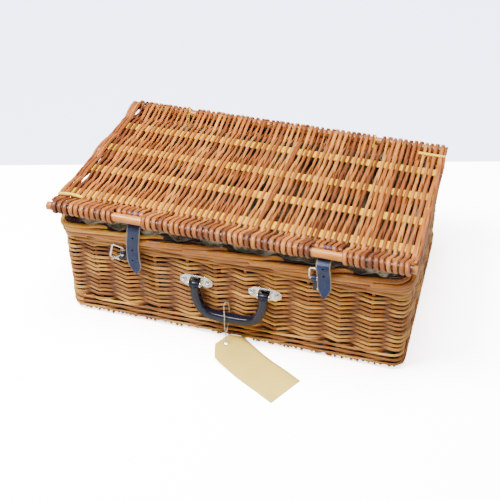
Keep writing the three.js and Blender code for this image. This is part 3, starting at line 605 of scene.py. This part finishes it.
def stake_phase(run):
    """Counts stakes along the line: whole numbers at the stakes, even steps between them."""
    count = len(STAKES)
    laps = np.floor(run / MIDLINE.length)
    u = run - laps * MIDLINE.length
    places = np.concatenate([[STAKES[-1] - MIDLINE.length], STAKES, [STAKES[0] + MIDLINE.length]])
    return np.interp(u, places, np.arange(-1, count + 1)) + laps * count


WALL_ROWS, RODS_A_ROW, ROD_OVERLAP = 26, 3, 14
WEAVE_SWING = 3.7


def wall_weaver(rods, row, run, height, sag):
    """A rod that passes before one stake and behind the next, sagging where it is in front."""
    phase = stake_phase(run)
    wave = 1 - 2 * np.abs(np.mod(phase + row, 2) - 1)
    wave = np.sin(wave * math.pi / 2 * 0.92) * 0.55 + wave * 0.45
    radius = chance.uniform(2.3, 2.95) * np.linspace(1.08, 0.92, len(run))
    out = (WEAVE_SWING + 0.2 * chance.normal()) * wave
    drop = np.interp(np.mod(phase, len(STAKES)), np.arange(len(sag)), sag)
    z = height - drop * np.maximum(wave, 0) ** 2 + wander(len(run), 0.35, 8)
    own = 0.45 + 0.55 * chance.beta(1.6, 1.6) + wander(len(run), 0.06, 14)
    # The rod's own tone, darkened where it passes behind a stake: painted shade in the recess.
    tone = np.clip(own * ease(0.5 + 0.7 * wave), 0, 1)
    rods.add(MIDLINE.at(run, out, z), radius * 0.88, radius * 0.8, Z, tone)


def upright(spot, z):
    """Points at heights z above a spot on the ground."""
    return np.column_stack([np.tile(spot, (len(z), 1)), z])


def corner_posts(rods):
    """An upright rod inside each corner, which the wall's rods turn round."""
    bend = (CORNER - WALL_THICK / 2) * math.sqrt(0.5)
    z = np.linspace(STAKE_FOOT, BORDER_HIGH[2] - 16, UPRIGHT_STEPS)
    for x_side in (-1, 1):
        for y_side in (-1, 1):
            post = [x_side * (WALL_HALF_X - CORNER + bend), y_side * (WALL_HALF_Y - CORNER + bend)]
            rods.add(upright(post, z), 3.6, across=X, shade=0.1)


def make_wall_weave():
    """Rows of rods round the box, each row of three rods that overlap a little."""
    rods = Rods(8)
    sag = chance.uniform(0.2, 3.4, len(STAKES) + 1)
    pitch = (WEAVE_TOP - WEAVE_BOTTOM) / WALL_ROWS
    for row in range(WALL_ROWS):
        begin = STAKES[int(chance.integers(0, 30))] + 10
        for k in range(RODS_A_ROW):
            start = begin + k * MIDLINE.length / RODS_A_ROW
            run = np.arange(start, start + MIDLINE.length / RODS_A_ROW + ROD_OVERLAP, 4.0)
            wall_weaver(rods, row, run, WEAVE_BOTTOM + (row + 0.5) * pitch, sag)
    corner_posts(rods)
    rods.build(
        "wall_rods", WALL, "basket", "wall_willow",
        "front_wall_weave", "right_wall_weave", "back_wall_weave", "left_wall_weave",
        "front_left_corner", "front_right_corner", "back_left_corner", "back_right_corner",
    )


def wale_row(rods, height, rise, radius, out_size, start):
    """One round of three-rod wale: each rod passes before two stakes and behind the third."""
    for k in range(3):
        for part in range(3):
            u0 = MIDLINE.length * part / 3 + start
            run = np.arange(u0, u0 + MIDLINE.length / 3 + 20, 5.0)
            phase = np.mod(stake_phase(run) + k + start, 3) / 3
            wave = np.cos(2 * math.pi * phase)
            out = out_size * np.tanh(1.6 * (0.35 - wave)) / math.tanh(1.6)
            z = height + rise * (phase - 0.5) * 2 + wander(len(run), 0.25, 8)
            size = radius * chance.uniform(0.92, 1.08)
            own = chance.uniform(0.35, 1.0) + wander(len(run), 0.05, 12)
            # The rod's own tone, darkened where it passes behind a stake: painted shade in the recess.
            tone = np.clip(own * ease(0.6 + 0.6 * out / out_size), 0, 1)
            rods.add(MIDLINE.at(run, out, z), size, across=Z, shade=tone)


FOOT_ROWS, CUT_ENDS = 3, 150


def cut_end(rods):
    """The short end of a rod, bent outwards and down under the foot."""
    run = chance.uniform(0, MIDLINE.length)
    steps = np.array([0.0, 0.3, 0.7, 1.0])
    reach = chance.uniform(-5, 5)
    out = 1.0 + chance.uniform(1.5, 4.0) * steps
    z = 7 - (7 - chance.uniform(1.9, 3.2)) * steps
    rods.add(MIDLINE.at(run + reach * steps, out, z), chance.uniform(1.6, 2.2), across=X, shade=0.5)


def make_wales():
    """The foot's three twisted rows over inner rods coloured as painted shade, its cut ends, and the top's
    two rows.
    """
    foot = Rods(9)
    low, high = node_box("foot_wale")
    pitch = (high[2] - low[2] - 3) / FOOT_ROWS
    for row in range(FOOT_ROWS):
        wale_row(foot, low[2] + 3 + (row + 0.5) * pitch, 2.8, 1.9, 4.6, float(row))
    # Inner rods at the darkest willow tone behind the rows: painted shade in the gaps of the foot.
    for out, height in ((-2.0, 4.2), (-2.4, 8.6), (-2.4, 13.0)):
        run = np.arange(0, MIDLINE.length + 4, 5.0)
        foot.add(MIDLINE.at(run, out, height), 2.6, across=Z, shade=0.0)
    for _ in range(CUT_ENDS):
        cut_end(foot)
    foot.build("foot_wale_rods", WALL, "basket", "wall_willow", "foot_wale")
    top = Rods(9)
    low, high = node_box("top_wale")
    for row, height in enumerate((low[2] + 2.6, high[2] - 2.6)):
        wale_row(top, height, 2.0, 2.3, 3.8, row + 1.0)
    top.build("top_wale_rods", WALL, "basket", "wall_willow", "top_wale")


def make_stakes():
    """The upright stakes that the wall's rods pass, of which little shows."""
    z = np.linspace(STAKE_FOOT, BORDER_HIGH[2] - 14, UPRIGHT_STEPS)
    for side, axis, sign in (("front", 0, 1), ("back", 0, -1), ("left", 1, -1), ("right", 1, 1)):
        rods = Rods(8)
        spot = node_middle(side + "_stakes")[:2]
        for place_at in LONG_STAKES if axis == 0 else SHORT_STAKES:
            spot[axis] = place_at * sign
            rods.add(upright(spot, z), 2.4, across=X, shade=0.4 + 0.4 * chance.random())
        rods.build(side + "_stake_rods", WALL, "basket", "pale_willow", side + "_stakes")


HALF_BAND = 9.0
STAKE_RISE, BORDER_STEPS = 14, 80
FRONT_DROP = 4.5
BORDER_MIDDLE = (BORDER_LOW[2] + BORDER_HIGH[2]) / 2
BORDER_HALF_TALL = (BORDER_HIGH[2] - BORDER_LOW[2]) / 2


def border_rod(rods, line, stake):
    """A stake's end laid along the rim: up from below, over the outside and down the inside."""
    radius = chance.uniform(3.7, 4.1)
    reach = chance.uniform(282, 300)
    run = np.linspace(stake - STAKE_RISE, stake + reach, BORDER_STEPS)
    t = np.linspace(0, 1, BORDER_STEPS)
    turn = np.interp(t, [0, 0.07, 0.14, 0.86, 1], [-130, -80, -56, 62, 150])
    turn = np.radians(turn + 3 * chance.normal())
    depth = line.at(run)[:, 1]
    front = FRONT_DROP * (depth < -SEAT_FRONT)
    seat = np.where(depth > SEAT_FRONT, BORDER_HIGH[2] - SEAT_TOP, front)
    z = BORDER_MIDDLE + (BORDER_HALF_TALL - radius) * np.sin(turn) + wander(BORDER_STEPS, 0.4, 12)
    z -= seat * (np.sin(turn) > 0)
    size = radius * np.interp(t, [0, 0.05, 0.8, 1], [0.7, 1, 0.92, 0.6])
    tone = np.clip(chance.uniform(0.35, 1.0) + wander(BORDER_STEPS, 0.05, 12), 0, 1)
    rods.add(line.at(run, (HALF_BAND - radius) * np.cos(turn), z), size, across=Z, shade=tone)


def make_border():
    """The rim: laid-down stake ends over four inner rods coloured as painted shade, lower along its front
    and back.
    """
    rods = Rods(10)
    line = Round(BORDER_HIGH[0] - HALF_BAND, BORDER_HIGH[1] - HALF_BAND, CORNER + 8 - HALF_BAND)
    for stake in line.stakes()[::2]:
        border_rod(rods, line, stake)
    # Four inner rods at the darkest willow tone: painted shade in the grooves between the laid stake ends.
    for out, height in ((-1.0, -8.0), (-1.0, 0.0), (-4.0, 4.0), (-4.0, -5.0)):
        run = np.arange(0, line.length + 4, 4.0)
        rods.add(line.at(run, out, BORDER_MIDDLE + height), 4.2, across=Z, shade=0.0)
    rods.build("border_rods", BORDER_WILLOW, "basket", "wall_willow", "border")


BASE_RODS = 76


def make_base():
    """Rods from front to back over and under three sticks, with every eighth left out."""
    rods = Rods(8)
    low, high = node_box("base_weave")
    stick_y = -node_middle("base_stick_front")[1]
    places = np.array([-stick_y, 0, stick_y])
    for i in range(BASE_RODS):
        x = low[0] + 4 + (i + 0.5) * (high[0] - low[0] - 8) / BASE_RODS
        if i % 8 == 7:
            continue
        y = np.linspace(-WALL_HALF_Y + 3, WALL_HALF_Y - 3, 60)
        phase = np.interp(y, places, [0, 1, 2], left=-0.2, right=2.2)
        sign = (-1) ** i
        z = 4.6 + sign * 2.0 * np.cos(math.pi * phase)
        points = np.column_stack([x + wander(60, 0.4, 12), y, np.maximum(z, 2.5)])
        rods.add(points, 2.6, 2.3, X, 0.1 + 0.5 * chance.random())
    rods.build("base_rods", LID, "basket", "wall_willow", "base_weave")
    for name in ("base_stick_front", "base_stick_middle", "base_stick_back"):
        low, high = node_box(name)
        middle = node_middle(name)
        x = np.linspace(low[0], high[0], 30)
        stick = Rods(12)
        points = np.column_stack([x, np.full(30, middle[1]), np.full(30, middle[2])])
        stick.add(points, (high[2] - low[2]) / 2, across=Y, shade=0.6)
        stick.build(name + "_rod", LATH, "basket", "pale_willow", name)


def make_hinge_rings():
    """A willow ring of two turns round the back stick and into the border."""
    for name, x in zip(("hinge_ring_left", "hinge_ring_right"), HINGES):
        low, high = node_box(name)
        start = BACK_STICK[1:]
        end = np.array([low[1] + 5.8, low[2] + 5.8])
        rods = Rods(9)
        for k in (-1, 1):
            angle = np.linspace(0, 2 * math.pi, 40)
            axis = (end - start) / np.linalg.norm(end - start)
            normal = np.array([-axis[1], axis[0]])
            middle = (start + end) / 2
            half = np.linalg.norm(end - start) / 2 + 7.0
            ring = middle + np.outer(np.cos(angle) * half, axis) + np.outer(np.sin(angle) * 8.6, normal)
            points = np.column_stack([x + k * 1.3 + 0.8 * np.sin(angle + k), ring])
            rods.add(points, 1.5, across=X, shade=0.7)
        rods.build(name + "_willow", LATH, "basket", "pale_willow", name)


# ---- liner ----
def ring_mesh(name, rings):
    """A closed band from rings of points, each ring joined to the next and the last to the first."""
    index = np.arange(len(rings) * len(rings[0])).reshape(len(rings), -1)
    after = np.roll(index, -1, axis=0)
    corners = [index, after, np.roll(after, -1, axis=1), np.roll(index, -1, axis=1)]
    mesh = bpy.data.meshes.new(name)
    verts = np.concatenate(rings) * MM
    mesh.from_pydata(verts.tolist(), [], np.stack(corners, -1).reshape(-1, 4).tolist())
    return mesh


def folds(run, z, seed):
    """Soft random folds, in millimetres about zero, along a line at height z."""
    return np.array([noise.noise(Vector((u * 0.055, h * 0.02, seed))) for u, h in zip(run, z)])


def make_liner():
    """The cotton lining: up the inside of the walls, over at the rim and down again inside."""
    low, high = node_box("liner")
    line = Round(high[0], high[1], 12)
    run = np.linspace(0, line.length, 420, endpoint=False)

    def level(inset, z, fold):
        z = np.full(len(run), float(z))
        return line.at(run, -inset + fold * folds(run, z, 3.1), z)

    rings = [level(3, low[2], 0)]
    rings += [level(1.2, z, 0.9) for z in np.linspace(low[2] + 3, high[2], 16)]
    rings += [level(3.6, z, 1.6) for z in np.linspace(high[2], low[2] + 4, 16)]
    rings += [level(8, low[2] + 2.4, 0)]
    piece = place("liner_cloth", tub_mesh("liner_cloth", rings), CLOTH, "basket", "liner_cloth", "liner")


def tub_mesh(name, rings):
    """A shell from its outer floor, up the outside, over the rim and down to its inner floor."""
    faces, caps = tube_faces(len(rings), len(rings[0]))
    middles = [[0, 0, rings[0][0][2]], [0, 0, rings[-1][0][2]]]
    verts = np.concatenate([*rings, middles]) * MM
    for middle, cap in zip((len(verts) - 2, len(verts) - 1), caps):
        faces += [[middle, a, b] for a, b in zip(cap, cap[1:] + cap[:1])]
    mesh = bpy.data.meshes.new(name)
    mesh.from_pydata(verts.tolist(), [], faces)
    return mesh


HEM_SPILL = 23


def make_liner_roll():
    """The padded, gathered hem round the mouth, which bulges up under the lid."""
    low, high = node_box("liner_roll")
    radius = (high[2] - low[2]) / 2
    line = Round(high[0] - radius, high[1] - radius, 14)
    run = np.linspace(0, line.length, 620, endpoint=False)
    middle = (low[2] + high[2]) / 2
    front = line.at(run)[:, 1] < low[1] + 8
    spill = front * np.clip(0.85 + 0.9 * folds(run * 0.8, np.zeros(len(run)), 6.0), 0.3, 1.1)
    rings = []
    for angle in np.linspace(0, 2 * math.pi, 22, endpoint=False):
        z = np.full(len(run), 10 * angle)
        puff = 1 + 0.16 * folds(run, z, 8.0) + 0.10 * folds(run * 2.7, z * 2, 1.0)
        gather = 0.06 * np.abs(np.sin(run * 0.33 + 2.0 * folds(run, z, 5.0)))
        size = radius * np.minimum(puff - gather, 1.14)
        heave = 1.6 * folds(run * 0.6, np.zeros(len(run)), 2.0)
        over = np.maximum(math.cos(angle - 1.15), 0) ** 4 * spill
        out = size * math.cos(angle) * 0.97 + HEM_SPILL * over
        crumple = (5.5 + 4.0 * folds(run * 2.2, out * 3, 4.0)) * over
        rings.append(line.at(run, out, middle + heave + size * math.sin(angle) + crumple))
    piece = place("liner_hem", ring_mesh("liner_hem", rings), CLOTH, "basket", "liner_cloth", "liner_roll")


# ---- pieces made from their CAD solids, with softened edges ----
def finished(piece):
    """The mesh of an object with its modifiers applied."""
    return bpy.data.meshes.new_from_object(piece.evaluated_get(bpy.context.evaluated_depsgraph_get()))


def softened(name, node, width, material, body, slot, segments=2):
    """A copy of a CAD solid with its edges rounded, standing in for it."""
    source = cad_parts[node]
    mesh = source.data.copy()
    mesh.materials.clear()
    piece = bpy.data.objects.new(name, mesh)
    bpy.context.collection.objects.link(piece)
    weld = piece.modifiers.new("weld", "WELD")
    weld.merge_threshold = 1e-5
    bevel = piece.modifiers.new("bevel", "BEVEL")
    bevel.width = width * MM
    bevel.segments = segments
    bevel.limit_method = "ANGLE"
    bevel.angle_limit = math.radians(35)
    bevel.harden_normals = False
    final = finished(piece)
    bpy.data.objects.remove(piece)
    return place(name, final, material, body, slot, node)


def make_metalwork():
    """The nickel parts of each side, with how far each one's edges are rounded, and the screws."""
    for side in ("left_", "right_"):
        for name, node, width, body in (
            ("bracket", "handle_bracket", 0.35, "basket"),
            ("pin", "handle_pin", 0.3, "basket"),
            ("buckle_frame", "buckle", 0.35, side + "buckle"),
            ("buckle_prong", "prong", 0.2, side + "prong"),
            ("tab_stud", "tab_rivet", 0.2, "basket"),
            ("strap_stud", "strap_rivet", 0.3, side + "strap"),
        ):
            softened(side + name, side + node, width, NICKEL, body, "nickel")
    for i in (1, 2, 3, 4):
        softened("screw_%d" % i, "handle_screw_%d" % i, 0.12, NICKEL, "basket", "nickel", 1)


def finish_cad_nodes():
    """Gives their materials to the CAD solids that are shown as they are."""
    shown = {"handle_backing": NICKEL, **{"lid_slat_%d" % i: LATH for i in (1, 2, 3, 4)}}
    for name, material in shown.items():
        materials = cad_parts[name].data.materials
        materials.clear()
        materials.append(material)


# ---- lofted pieces: leather, grip and card ----
def skin(name, rings, **values):
    """A closed skin over rings of points, capped at both ends, with a value for every point."""
    quads, caps = tube_faces(len(rings), len(rings[0]))
    mesh = bpy.data.meshes.new(name)
    mesh.from_pydata((np.concatenate(rings) * MM).tolist(), [], quads + caps)
    for key, value in values.items():
        keep_values(mesh, key, "FLOAT", value)
    return mesh


def smooth_line(points, steps):
    """Points along a Catmull-Rom curve through the given ones."""
    points = np.asarray(points, float)
    held = np.vstack([2 * points[0] - points[1], points, 2 * points[-1] - points[-2]])
    t = np.linspace(0, 1, steps, endpoint=False)[:, None]
    spans = []
    for a, b, c, d in zip(held, held[1:], held[2:], held[3:]):
        bend = (2 * a - 5 * b + 4 * c - d) * t**2 + (3 * b - a - 3 * c + d) * t**3
        spans.append(0.5 * (2 * b + (c - a) * t + bend))
    return np.vstack([*spans, points[-1:]])


def drills(places, direction, radius):
    """Round bars through the places, along the direction."""
    bars = bmesh.new()
    turn = Vector(direction).to_track_quat("Z", "Y").to_matrix().to_4x4()
    for spot in places:
        where = Matrix.Translation(Vector(spot) * MM) @ turn
        bmesh.ops.create_cone(
            bars, cap_ends=True, segments=20, radius1=radius * MM, radius2=radius * MM,
            depth=14 * MM, matrix=where,
        )
    mesh = bpy.data.meshes.new("drill")
    bars.to_mesh(mesh)
    bars.free()
    return mesh


def pierced(mesh, places, direction, radius):
    """The mesh with round holes cut through it at the places, along the direction."""
    tool = bpy.data.objects.new("drill", drills(places, direction, radius))
    blank = bpy.data.objects.new("blank", mesh)
    for piece in (tool, blank):
        bpy.context.collection.objects.link(piece)
    cut = blank.modifiers.new("holes", "BOOLEAN")
    cut.operation = "DIFFERENCE"
    cut.solver = "EXACT"
    cut.object = tool
    final = finished(blank)
    for piece in (tool, blank):
        bpy.data.objects.remove(piece)
    return final


def band_section(half_width, half_thick, corner=0.75):
    """A flat section with rounded corners: places across it, places through it, and its cut edges."""
    across = np.concatenate([np.linspace(-1, 1, 11), [1, 1], np.linspace(1, -1, 11), [-1, -1]])
    through = np.concatenate([np.full(11, 1.0), [0.4, -0.4], np.full(11, -1.0), [-0.4, 0.4]])
    round_off = np.where((np.abs(across) == 1) & (np.abs(through) == 1), corner, 1.0)
    edge = (np.abs(across) == 1).astype(float) * np.where(np.abs(through) == 1, 0.6, 1.0)
    return across * half_width, through * half_thick * round_off, edge


# Each strap: the height of its bend over the border, its holes, and how far it leans at heights.
STRAPS = {
    "left": (180.5, (163.5, 142, 125.5), (104, 115, 126, 150, 176), (4.5, 2.4, -0.4, -0.6, 3.5)),
    "right": (182, (177.5, 165.5), (131, 150, 165, 186), (2.6, 1.4, 0, -2.6)),
}


STRAP_HALF_THICK, LOOP_RADIUS, TIP = 0.95, 3.6, 17


def strap_line(side, low):
    """The strap's middle line in (y, z): round the notch rod, over the border and down."""
    bend = STRAPS[side][0]
    rod_y, rod_z = node_middle(side + "_notch_rod")[1:]
    leg = low[1] + 1.0
    start = np.array([rod_y - 0.7, rod_z - LOOP_RADIUS])
    corner = np.array([leg, bend - 0.5])
    slope = (corner - start) / np.linalg.norm(corner - start)
    turn = np.radians(np.linspace(-95, 185, 10))
    loop = np.column_stack([rod_y + LOOP_RADIUS * np.cos(turn), rod_z + LOOP_RADIUS * np.sin(turn)])
    reach = np.linalg.norm(corner - start)
    over = [start + slope * reach * part for part in (0.42, 0.62, 0.82)]
    over.append(corner + [1.1, -0.2])
    down = np.linspace(bend - 6, low[2], 9)
    flare = -3.4 * np.linspace(0, 1, 9) ** 3 + 0.7 * np.sin(np.linspace(0, 5, 9))
    hanging = np.column_stack([leg + flare, down])
    return smooth_line(np.vstack([loop, over, hanging]), 6), len(loop) + 2


def outwards(line):
    """The direction square to a flat line at each of its points."""
    along = np.gradient(line, axis=0)
    along /= np.linalg.norm(along, axis=1)[:, None]
    return np.stack([along[:, 1], -along[:, 0]], -1)


def make_strap(side):
    """A leather strap looped round its notch rod, bent over the border and hanging down."""
    low, high = node_box(side + "_strap")
    _, holes, heights, leans = STRAPS[side]
    middle, half = (low[0] + high[0]) / 2, (high[0] - low[0]) / 2
    line, before = strap_line(side, low)
    hanging = np.arange(len(line)) > 6 * before
    near_tip = np.where(hanging, np.clip((low[2] + TIP - line[:, 1]) / TIP, 0, 1), 0)
    width = np.maximum(half * (1 - near_tip**1.9), 0.8)
    lean = np.interp(line[:, 1], heights, leans)
    lean = np.convolve(np.pad(lean, 4, "edge"), np.full(9, 1 / 9), "valid")
    rings, edges = [], []
    for i, (spot, out) in enumerate(zip(line, outwards(line))):
        across, through, edge = band_section(width[i], STRAP_HALF_THICK)
        cup = 0.5 * (across / half) ** 2 * hanging[i]
        depth = spot + (through - cup)[:, None] * out
        rings.append(np.column_stack([middle + lean[i] + across, depth]))
        edges.append(edge)
    mesh = skin(side + "_strap_leather", rings, edge=np.concatenate(edges))
    punched = [(middle + np.interp(z, heights, leans), low[1], z) for z in holes]
    mesh = pierced(mesh, punched, (0, 1, 0), 1.6)
    place(side + "_strap_leather", mesh, STRAP_LEATHER, side + "_strap", "strap_leather", side + "_strap")


def raw_edges(mesh, across):
    """Marks the faces that look along the given direction as cut edges."""
    across = Vector(across).normalized()
    values = [1.0 if abs(face.normal.dot(across)) > 0.7 else 0.0 for face in mesh.polygons]
    mesh.attributes.new("edge", "FLOAT", "FACE").data.foreach_set("value", values)


def make_tabs():
    # Both tabs take the darker copy of the strap leather, which paints the shade they lie in.
    left = softened("left_tab_leather", "left_tab", 0.3, SHADED_TAB_LEATHER, "basket", "tab_leather")
    raw_edges(left.data, (math.sin(LEFT_TILT), 0, math.cos(LEFT_TILT)))
    right = softened("right_tab_leather", "right_tab", 0.3, SHADED_TAB_LEATHER, "basket", "tab_leather")
    raw_edges(right.data, (1, 0, 0))


GRIP_THICK, GRIP_HALF_WIDE = 12.4, 6.2
GRIP_SIDES = 28
GRIP_ANGLE = np.linspace(0, 2 * math.pi, GRIP_SIDES, endpoint=False)


def grip_line(span, pivot_z, grip_z):
    """The grip's middle line in (x, z), from one pin down to the hand's part and up to the other."""
    rise = pivot_z - grip_z
    half = [
        (span, pivot_z - 2), (span - 0.6, pivot_z - 0.28 * rise), (span - 3.2, pivot_z - 0.55 * rise),
        (span - 9, grip_z + 0.2 * rise), (span - 19, grip_z + 0.05 * rise), (span - 34, grip_z),
    ]
    return smooth_line([(-x, z) for x, z in half] + half[::-1], 8)


def make_barrel(name, pin):
    """The round end of the grip, bored for its pin."""
    y, z = np.cos(GRIP_ANGLE), np.sin(GRIP_ANGLE)
    rings = []
    for x, radius in zip((-6.9, -6.4, 6.4, 6.9, 6.9, -6.9), (4.2, 4.6, 4.6, 4.2, 1.9, 1.9)):
        rings.append(np.column_stack([np.full(GRIP_SIDES, x), radius * y, radius * z]) + pin)
    mesh = ring_mesh(name, rings)
    keep_values(mesh, "polish", "FLOAT", np.ones(GRIP_SIDES * len(rings)))
    place(name, mesh, PLASTIC, "handle", "navy_plastic")


def make_grip():
    """The moulded bail: a squarish section that swells in the hand, and a barrel on each pin."""
    left, right = (node_middle(name) for name in ("left_handle_pin", "right_handle_pin"))
    middle, span = (left[0] + right[0]) / 2, (right[0] - left[0]) / 2
    grip_z = node_box("handle_grip")[0][2] + GRIP_THICK / 2
    line = grip_line(span, left[2], grip_z)
    corner = np.abs(np.cos(GRIP_ANGLE)) ** 4 + np.abs(np.sin(GRIP_ANGLE)) ** 4
    across, through = np.cos(GRIP_ANGLE) / corner**0.25, np.sin(GRIP_ANGLE) / corner**0.25
    swell = 1.0 + 0.06 * np.exp(-((line[:, 0] / 26) ** 2))
    swell -= 0.07 * np.exp(-(((line[:, 1] - left[2]) / 14) ** 2))
    rings = []
    for spot, out, size in zip(line, outwards(line), swell):
        flat = spot + (through * GRIP_THICK / 2 * size)[:, None] * out
        lean = left[1] - 1.5 * (left[2] - spot[1]) / (left[2] - grip_z)
        depth = lean + across * GRIP_HALF_WIDE * size
        rings.append(np.column_stack([middle + flat[:, 0], depth, flat[:, 1]]))
    polish = np.tile(ease((0.25 - through) / 0.3), len(rings))
    place("grip", skin("grip", rings, polish=polish), PLASTIC, "handle", "navy_plastic", "handle_grip")
    make_barrel("left_barrel", left)
    make_barrel("right_barrel", right)


# ---- ticket and its string ----
STRING_RADIUS = 0.6
STRING_ROUTE = [
    (1.7, -177.6, 11.2), (1.6, -177.4, 16), (0.8, -176.8, 24), (-0.8, -175.4, 35), (-1.9, -173.4, 46),
    (-2.4, -171.2, 56), (-4, -167.5, 63), (-5.6, -162.8, 68.5), (-4.9, -157.6, 71), (-2.4, -154.2, 68),
    (-1, -153.7, 61), (-0.9, -153.7, 52), (-1, -153.8, 43), (-1, -155.4, 36.5), (-0.9, -160.5, 32),
    (-0.5, -167, 28), (-0.2, -173, 23), (-0.1, -176.8, 17), (-0.1, -177.6, 11.2),
]
CARD_LENGTH, CARD_HALF, CARD_THICK, CARD_CLIP = 126.0, 29.0, 0.8, 15.0
CARD_FAR = np.array([104.0, -235.0, 0.3])
CARD_HEADING = math.radians(-29)
CARD_FLAT, CARD_LIFT, EYELET_INSET = 60.0, 13.5, 8.0


def card_height(s):
    return CARD_LIFT * (np.clip(s - CARD_FLAT, 0, None) / (CARD_LENGTH - CARD_FLAT)) ** 2


def make_ticket():
    """A card that lies on the floor and curves up to its eyelet, tied to the grip with string."""
    cos, sin = math.cos(CARD_HEADING), math.sin(CARD_HEADING)
    turn = np.array([[cos, sin], [-sin, cos]])
    rings = []
    for s in np.append(np.linspace(0, CARD_LENGTH - CARD_CLIP, 60), CARD_LENGTH):
        half = CARD_HALF - max(0, s - CARD_LENGTH + CARD_CLIP)
        across, through, _ = band_section(half, CARD_THICK / 2, 0.9)
        ripple = 0.5 * (1 + math.sin(s * 0.09)) * (across / CARD_HALF) ** 2
        flat = np.column_stack([np.full(len(across), -s), across]) @ turn
        height = card_height(s) + CARD_THICK / 2 + through + ripple * min(1, s / 30)
        rings.append(np.column_stack([flat, height]) + CARD_FAR)
    eye = np.array([-(CARD_LENGTH - EYELET_INSET), 0.0]) @ turn
    spot = CARD_FAR + [eye[0], eye[1], card_height(CARD_LENGTH - EYELET_INSET)]
    mesh = pierced(skin("ticket_card", rings), [spot], (0, 0, 1), 2.4)
    place("ticket_card", mesh, CARD, "ticket", "card", "ticket")
    line = smooth_line(STRING_ROUTE, 6)
    rods = Rods(8)
    rods.add(line, STRING_RADIUS, across=X, shade=0.5)
    string = rods.build("ticket_twine", TWINE, "ticket", "twine", "ticket_string")


# ---- stage, light and camera ----
CAMERA_YAW, CAMERA_PITCH, CAMERA_ROLL = np.radians([16.6, 38.86, -0.45]).tolist()
CAMERA_AT = (0.3201, -1.1250, 0.9869)
LENS, SENSOR = 70.17, 36
WORLD_LIGHT, WORLD_SEEN = 0.36, 4.5


def bleached(name, color, seen, glow):
    """A studio surface that shows brighter than the light that it throws back on the basket."""
    shader = Shader(name, 0.7, Emission_Color=(*glow, 1))
    direct = shader.node("LightPath", {}).outputs["Is Camera Ray"]
    bright = tuple(c * seen for c in color)
    shader.set("Base Color", shader.mix(direct, (*color, 1), (*bright, 1)))
    shader.set("Emission Strength", direct)
    return shader.material


def stage_sheet(name, corners, material):
    mesh = bpy.data.meshes.new(name)
    mesh.from_pydata([tuple(corner) for corner in corners], [], [(0, 1, 2, 3)])
    mesh.materials.append(material)
    sheet = bpy.data.objects.new(name, mesh)
    bpy.context.collection.objects.link(sheet)
    return sheet


def make_stage():
    """A white floor, and beyond a line behind the basket a pale sheet that reads as the wall."""
    foot = Vector((-0.1014, 0.2886, 0))
    along = Vector((math.cos(CAMERA_YAW), math.sin(CAMERA_YAW), 0)) * 4
    away = Vector((-math.sin(CAMERA_YAW), math.cos(CAMERA_YAW), 0)) * 4
    near = [foot - along - away, foot + along - away, foot + along, foot - along]
    far = [foot - along, foot + along, foot + along + away, foot - along + away]
    white = bleached("white_floor", (0.62, 0.615, 0.60), 7.5, (2.6, 2.55, 2.45))
    pale = bleached("pale_wall", (0.5, 0.52, 0.54), 0.6, (3.7, 4.1, 5.4))
    stage_sheet("floor", near, white)
    stage_sheet("backdrop", far, pale)


def area_light(name, where, target, size, power, color=(1, 1, 1)):
    light = bpy.data.lights.new(name, "AREA")
    light.shape = "RECTANGLE"
    light.size, light.size_y = size
    light.energy = power
    light.color = color
    lamp = bpy.data.objects.new(name, light)
    lamp.location = where
    lamp.rotation_euler = (Vector(target) - Vector(where)).to_track_quat("-Z", "Y").to_euler()
    bpy.context.collection.objects.link(lamp)


def make_lights():
    """Three area lights, and a world that is pale to the camera and dim to the basket."""
    area_light("key", (-0.7, -0.5, 1.7), (0, 0, 0.1), (0.7, 0.7), 60, (1.0, 0.985, 0.96))
    area_light("fill", (1.5, -1.5, 0.9), (0, 0, 0.1), (1.2, 0.9), 10, (0.95, 0.97, 1.0))
    area_light("top", (0.1, -0.05, 1.9), (0, 0, 0.1), (1.0, 0.8), 40)
    world = bpy.data.worlds.new("studio")
    world.use_nodes = True
    background = world.node_tree.nodes["Background"]
    background.inputs["Color"].default_value = (0.93, 0.95, 1.0, 1)
    direct = world.node_tree.nodes.new("ShaderNodeLightPath").outputs["Is Camera Ray"]
    strength = world.node_tree.nodes.new("ShaderNodeMath")
    strength.operation = "MULTIPLY_ADD"
    strength.inputs[1].default_value = WORLD_SEEN
    strength.inputs[2].default_value = WORLD_LIGHT
    world.node_tree.links.new(direct, strength.inputs[0])
    world.node_tree.links.new(strength.outputs[0], background.inputs["Strength"])
    bpy.context.scene.world = world


def make_camera():
    """The camera looks down from the front, a little to the right, at the studied angle."""
    data = bpy.data.cameras.new("camera")
    data.sensor_width = SENSOR
    data.lens = LENS
    camera = bpy.data.objects.new("camera", data)
    turn = Matrix.Rotation(CAMERA_YAW, 4, "Z") @ Matrix.Rotation(math.pi / 2 - CAMERA_PITCH, 4, "X")
    turn = turn @ Matrix.Rotation(CAMERA_ROLL, 4, "Z")
    camera.matrix_world = Matrix.Translation(CAMERA_AT) @ turn
    bpy.context.collection.objects.link(camera)
    bpy.context.scene.camera = camera


make_camera()
make_ticket()
make_stage()
make_lights()
make_lid_weave()
make_lid_edges()
make_lid_sticks()
make_lid_small_rods()
make_wall_weave()
make_wales()
make_stakes()
make_border()
make_base()
make_hinge_rings()
make_liner()
make_liner_roll()
make_metalwork()
make_strap("left")
make_strap("right")
make_tabs()
make_grip()
finish_cad_nodes()
